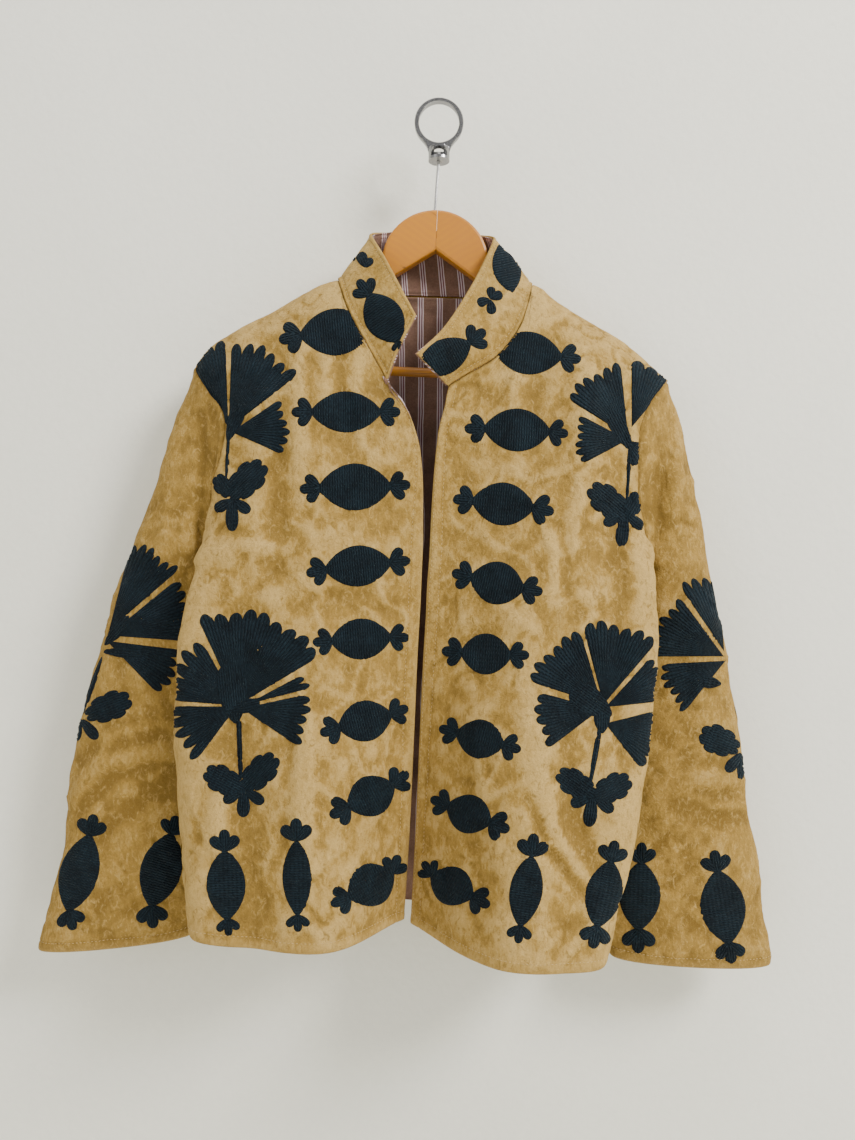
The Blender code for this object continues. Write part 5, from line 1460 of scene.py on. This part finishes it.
FINISHES = {"mustard_velvet": velvet_finish, "striped_lining": stripe_finish,
            "sewing_thread": sewing_finish, "dark_blue_thread": thread_finish}


def finish_of(name):
    return bpy.data.materials.get(name) or FINISHES[name]()


def cloth_finishes():
    return [finish_of(name) for name in ("mustard_velvet", "striped_lining", "sewing_thread")]


def colour(name, about, default):
    return FloatVectorProperty(name=name, description=about, subtype="COLOR", default=default, min=0, max=1)


def amount(name, about, default):
    return FloatProperty(name=name, description=about, default=default, min=0, max=1)


def length(name, about, default, low, high):
    return FloatProperty(name=name, description=about, default=default, min=low, max=high, unit="LENGTH")


class CoatCloth(bpy.types.PropertyGroup):
    velvet_dark: colour("Velvet shade", "Velvet where the nap lies away", (0.185, 0.108, 0.022))
    # Painted shade in sunk cloth and on the sleeves, and also the velvet's own dark mottling and specks
    velvet_mid: colour("Velvet", "Velvet in plain light", (0.325, 0.198, 0.046))
    # Painted highlight on raised cloth at folds; at edges and in specks it is the velvet's own rubbed wear
    # and tone
    velvet_pale: colour("Rubbed velvet", "Velvet rubbed pale at folds and edges", (0.52, 0.35, 0.12))
    velvet_sheen: amount("Sheen", "How much the nap shines at grazing angles", 0.1)


class CoatLining(bpy.types.PropertyGroup):
    ground: colour("Ground", "Brown ground of the striped cotton", (0.25, 0.14, 0.10))
    pale_line: colour("Pale line", "Thin pale lines of each stripe", (0.74, 0.62, 0.64))
    soft_line: colour("Soft line", "Dull purple between the pale lines", (0.16, 0.06, 0.08))
    repeat: length("Repeat", "Width from one stripe to the next", 0.0175, 0.005, 0.05)


class CoatEmbroidery(bpy.types.PropertyGroup):
    thread: colour("Thread", "Dark blue chain stitch in plain light", (0.0075, 0.0165, 0.024))
    thread_dark: colour("Thread shade", "Between the rows of stitches", (0.002, 0.0035, 0.0055))
    lift: length("Height", "How far the stitching stands out of the velvet", 0.0009, 0.0002, 0.003)
    row_width: length("Row width", "Width of one row of chain stitch", 0.0021, 0.0005, 0.005)
    stitch_length: length("Stitch length", "Length of one loop of the chain", 0.0036, 0.001, 0.01)


class CoatHanger(bpy.types.PropertyGroup):
    wood_light: colour("Wood", "Varnished wood", (0.5, 0.2, 0.012))
    wood_dark: colour("Wood grain", "Growth lines and darker patches", (0.42, 0.155, 0.03))
    wood_roughness: amount("Wood roughness", "How dull the varnish is", 0.36)


class CoatStage(bpy.types.PropertyGroup):
    plaster: colour("Backdrop", "Pale painted backdrop and floor", (0.88, 0.87, 0.785))
    wall_y: length("Backdrop distance", "How far behind the hanger the backdrop stands", 0.052, 0.045, 2)
    floor_z: length("Floor height", "Height of the floor under the hanger's ring", -1.02, -3, -0.8)


class COAT_OT_fronts(bpy.types.Operator):
    """Lays the two fronts, velvet outside and striped cotton inside"""

    bl_idname = "coat.fronts"
    bl_label = "Fronts"

    def execute(self, context):
        velvet, stripes, thread = cloth_finishes()
        for side in ("left", "right"):
            cloth = lay_front(side)
            piece = cloth.piece(f"front_{side}_velvet", [velvet, stripes], FRONT_WALL, side == "left",
                                ("left", "foot"), ("left", "foot", "right", "top"))
            lines = [("left", OPENING_STITCH, 0.02, 0.985), ("foot", HEM_STITCH, 0.03, 0.97)]
            if side == "right":
                lines.append(("left", EDGE_STITCH, 0.02, 0.985))
            sewing = sew(f"front_{side}_topstitch", cloth, lines, thread)
            hang_sheet(f"front_{side}")
        return {"FINISHED"}


class COAT_OT_back(bpy.types.Operator):
    """Lays the back and its striped lining"""

    bl_idname = "coat.back"
    bl_label = "Back and lining"

    def execute(self, context):
        velvet, stripes, thread = cloth_finishes()
        cloth = lay_back()
        piece = cloth.piece("back_velvet", [velvet], BACK_WALL, True, ("foot",),
                            ("foot", "left", "right", "top"))
        sewing = sew("back_topstitch", cloth, [("foot", HEM_STITCH, 0.02, 0.98)], thread)
        hang_sheet("back")
        inner = cloth.moved_in(BACK_WALL + LAYER_GAP, 0.2)
        lining = inner.piece("back_lining_cotton", [stripes], LINING_WALL, True, centred=True)
        hang_sheet("back_lining")
        return {"FINISHED"}


class COAT_OT_sleeves(bpy.types.Operator):
    """Lays the two sleeves"""

    bl_idname = "coat.sleeves"
    bl_label = "Sleeves"

    def execute(self, context):
        velvet, stripes, thread = cloth_finishes()
        for side in ("left", "right"):
            cloth = lay_sleeve(side)
            # The sleeves' velvet is painted darker as a whole: painted shade
            piece = cloth.piece(f"sleeve_{side}_velvet", [velvet, stripes], SLEEVE_WALL, side == "left",
                                ("top",), ("top", "foot"), SLEEVE_PAINTED_SHADE)
            sewing = sew(f"sleeve_{side}_topstitch", cloth, [("top", HEM_STITCH, 0.0, 1.0)], thread)
            hang_sheet(f"sleeve_{side}")
        return {"FINISHED"}


class COAT_OT_collar(bpy.types.Operator):
    """Lays the standing collar and its lining"""

    bl_idname = "coat.collar"
    bl_label = "Collar and lining"

    def execute(self, context):
        velvet, stripes, thread = cloth_finishes()
        cloth = lay_collar()
        piece = cloth.piece("collar_velvet", [velvet], COLLAR_WALL, True, ("top", "left", "right"),
                            ("top", "left", "right", "foot"))
        lines = [("top", COLLAR_STITCH, 0.02, 0.98), ("foot", COLLAR_SEAM_STITCH, 0.02, 0.98),
                 ("left", COLLAR_STITCH, 0.1, 0.9), ("right", COLLAR_STITCH, 0.1, 0.9)]
        sewing = sew("collar_topstitch", cloth, lines, thread)
        hang_sheet("collar")
        inner = cloth.moved_in(COLLAR_WALL + LAYER_GAP * 0.5, 0.1)
        lining = inner.piece("collar_lining_cotton", [stripes], COLLAR_LINING_WALL, True, centred=True)
        hang_sheet("collar_lining")
        return {"FINISHED"}


def facing_surface(u, v):
    """The strip that stands out of the left side seam, as its solid does."""
    level = POCKET_LOW_Z + (POCKET_HIGH_Z - POCKET_LOW_Z) * v
    root = back_point(np.full(len(u), 0.035), level)
    edge = back_point(np.full(len(u), 0.004), level)
    normal = -normals_of(back_point, np.full(len(u), 0.035), level)
    out = unit(edge - root)
    reach = POCKET_ROOT + POCKET_PEEK * np.sin(math.pi * v) ** 0.6 + 0.8 * np.sin(31 * v) * u
    return root + normal * (POCKET_LIFT + LINING_WALL + 1.2) + out * (reach * u)[:, None]


class COAT_OT_pocket(bpy.types.Operator):
    """Lays the striped facing that stands out of the left side seam at the pocket"""

    bl_idname = "coat.pocket"
    bl_label = "Pocket facing"

    def execute(self, context):
        cloth = LaidCloth(np.linspace(0, 1, 16), np.linspace(0, 1, 50), facing_surface, no_relief, -1.0)
        piece = cloth.piece("pocket_facing_cotton", [finish_of("striped_lining")], LINING_WALL, True)
        hang_sheet("pocket_facing_left")
        return {"FINISHED"}


class COAT_OT_embroidery(bpy.types.Operator):
    """Stitches the lens and fan motifs on the fronts, sleeves, collar and back"""

    bl_idname = "coat.embroidery"
    bl_label = "Embroidery"

    def execute(self, context):
        thread = finish_of("dark_blue_thread")
        lift = context.scene.coat_embroidery.lift / MM
        for name, cloth, side, motifs in (
            *((name, name, 1, name) for name in LENSES),
            ("back_left", "back", -1, "front_left"),
            ("back_right", "back", -1, "front_right"),
            ("sleeve_left_behind", "sleeve_left", -1, "sleeve_left"),
            ("sleeve_right_behind", "sleeve_right", -1, "sleeve_right"),
        ):
            embroider(f"embroidery_{name}", bpy.data.objects[f"{cloth}_velvet"], motifs_of(motifs),
                      side, lift, thread)
        return {"FINISHED"}


class COAT_OT_hanger(bpy.types.Operator):
    """Gives the hanger's wood and steel their finish"""

    bl_idname = "coat.hanger"
    bl_label = "Hanger"

    def execute(self, context):
        left = wood_finish("orange_wood_left", math.radians(-32), 0.013, 1.0)
        # The right arm and the bar are darker copies of the same wood: painted shade
        right = wood_finish("orange_wood_right", math.radians(34), 0.041, 0.93)
        bar = wood_finish("orange_wood_bar", math.radians(2.5), 0.002, 0.95)
        bright = steel_finish("bright_steel", (0.72, 0.71, 0.70), 0.22)
        dark = steel_finish("ring_steel", (0.30, 0.30, 0.31), 0.2)
        for node, finish in (("hanger_arm_left", left), ("hanger_arm_right", right), ("hanger_bar", bar),
                             ("hanger_stem", bright), ("hanger_ring", dark)):
            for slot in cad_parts[node].material_slots:
                slot.material = finish
        return {"FINISHED"}


def area_light(name, place, target, size, watts, colour):
    lamp = bpy.data.lights.new(name, "AREA")
    lamp.shape = "DISK"
    lamp.size = size
    lamp.energy = watts
    lamp.color = colour
    item = bpy.data.objects.new(name, lamp)
    item.location = place
    aim = (Vector(target) - Vector(place)).to_track_quat("-Z", "Y")
    item.rotation_euler = aim.to_euler()
    bpy.context.scene.collection.objects.link(item)


def plaster_finish():
    """Pale painted plaster that can't be seen from behind and lets light through from there."""
    look = bpy.context.scene.coat_stage
    material, tree, shader = new_finish("pale_plaster", 0.9)
    where = object_place(tree)
    tone = mottle(tree, where, 2.5, 160.0, 0.25)
    base = mix_colour(tree, ramp(tree, tone["Tone"], (0.35, 0.0), (0.65, 1.0)),
                      dimmed(look.plaster, 0.93), look.plaster)
    tree.links.new(base, shader.inputs["Base Color"])
    bump(tree, shader, noise_at(tree, where, 130.0, 4.0), 0.002, 0.25)
    clear = add_node(tree, "ShaderNodeBsdfTransparent")
    behind = add_node(tree, "ShaderNodeNewGeometry").outputs["Backfacing"]
    shadow = add_node(tree, "ShaderNodeLightPath").outputs["Is Shadow Ray"]
    gone = maths(tree, "MAXIMUM", behind, shadow)
    blend = add_node(tree, "ShaderNodeMixShader", {0: gone, 1: shader.outputs[0], 2: clear.outputs[0]})
    tree.links.new(blend.outputs[0], tree.nodes["Material Output"].inputs["Surface"])
    return material


class COAT_OT_stage(bpy.types.Operator):
    """Sets the backdrop, floor, light and camera"""

    bl_idname = "coat.stage"
    bl_label = "Stage"

    def execute(self, context):
        look = context.scene.coat_stage
        plaster = plaster_finish()
        for name, size, place, turn in (
            ("backdrop", 6.0, (0, look.wall_y, -0.4), Matrix.Rotation(math.pi / 2, 4, "X")),
            ("floor", 6.0, (0, 0, look.floor_z), Matrix.Identity(4)),
        ):
            mesh = bpy.data.meshes.new(name)
            bm = bmesh.new()
            bmesh.ops.create_grid(bm, x_segments=1, y_segments=1, size=size / 2,
                                  matrix=Matrix.Translation(place) @ turn)
            bm.to_mesh(mesh)
            bm.free()
            item = bpy.data.objects.new(name, mesh)
            mesh.materials.append(plaster)
            context.scene.collection.objects.link(item)
        middle = (0, 0, -0.42)
        area_light("window_light", (1.8, -1.6, 1.1), middle, 1.0, 104, (1.0, 0.985, 0.95))
        area_light("room_light", (-1.7, -1.8, 0.3), middle, 1.8, 18, (1.0, 0.98, 0.94))
        area_light("ceiling_light", (0.0, -0.9, 1.7), middle, 1.2, 14, (1.0, 0.99, 0.97))
        area_light("rear_light", (0.3, 1.9, 0.6), middle, 1.6, 26, (1.0, 0.99, 0.97))
        world = bpy.data.worlds.new("soft_room")
        context.scene.world = world
        world.use_nodes = True
        air = world.node_tree.nodes["Background"].inputs
        air["Color"].default_value = (1.0, 0.985, 0.95, 1.0)
        air["Strength"].default_value = 0.5
        lens = bpy.data.cameras.new("front_camera")
        lens.sensor_fit = "VERTICAL"
        lens.sensor_height = SENSOR_MM
        lens.lens = SENSOR_MM * -VIEW_Y / VIEW_HEIGHT
        camera = bpy.data.objects.new("front_camera", lens)
        camera.location = (VIEW_X * MM, VIEW_Y * MM, VIEW_Z * MM)
        camera.rotation_euler = (math.pi / 2, 0, 0)
        context.scene.collection.objects.link(camera)
        context.scene.camera = camera
        return {"FINISHED"}


OPERATORS = (COAT_OT_fronts, COAT_OT_back, COAT_OT_sleeves, COAT_OT_collar, COAT_OT_pocket,
             COAT_OT_embroidery, COAT_OT_hanger, COAT_OT_stage)
SETTINGS = {"coat_cloth": CoatCloth, "coat_lining": CoatLining, "coat_embroidery": CoatEmbroidery,
            "coat_hanger": CoatHanger, "coat_stage": CoatStage}


class COAT_PT_panel(bpy.types.Panel):
    """Sizes, colours and pieces of the coat"""

    bl_idname = "COAT_PT_panel"
    bl_label = "Coat"
    bl_space_type = "VIEW_3D"
    bl_region_type = "UI"
    bl_category = "Coat"

    def draw(self, context):
        for name, group in SETTINGS.items():
            box = self.layout.box()
            box.label(text=name.removeprefix("coat_").title())
            for prop in group.__annotations__:
                box.prop(getattr(context.scene, name), prop)
        for operator in OPERATORS:
            self.layout.operator(operator.bl_idname)


def register():
    for kind in (*SETTINGS.values(), *OPERATORS, COAT_PT_panel):
        bpy.utils.register_class(kind)
    for name, group in SETTINGS.items():
        setattr(bpy.types.Scene, name, PointerProperty(type=group))


def unregister():
    for name in SETTINGS:
        delattr(bpy.types.Scene, name)
    for kind in (COAT_PT_panel, *reversed(OPERATORS), *reversed(SETTINGS.values())):
        bpy.utils.unregister_class(kind)


def dress_coat():
    register()
    for piece in ("fronts", "back", "sleeves", "collar", "pocket", "embroidery", "hanger", "stage"):
        getattr(bpy.ops.coat, piece)()


if __name__ == "__main__":
    dress_coat()
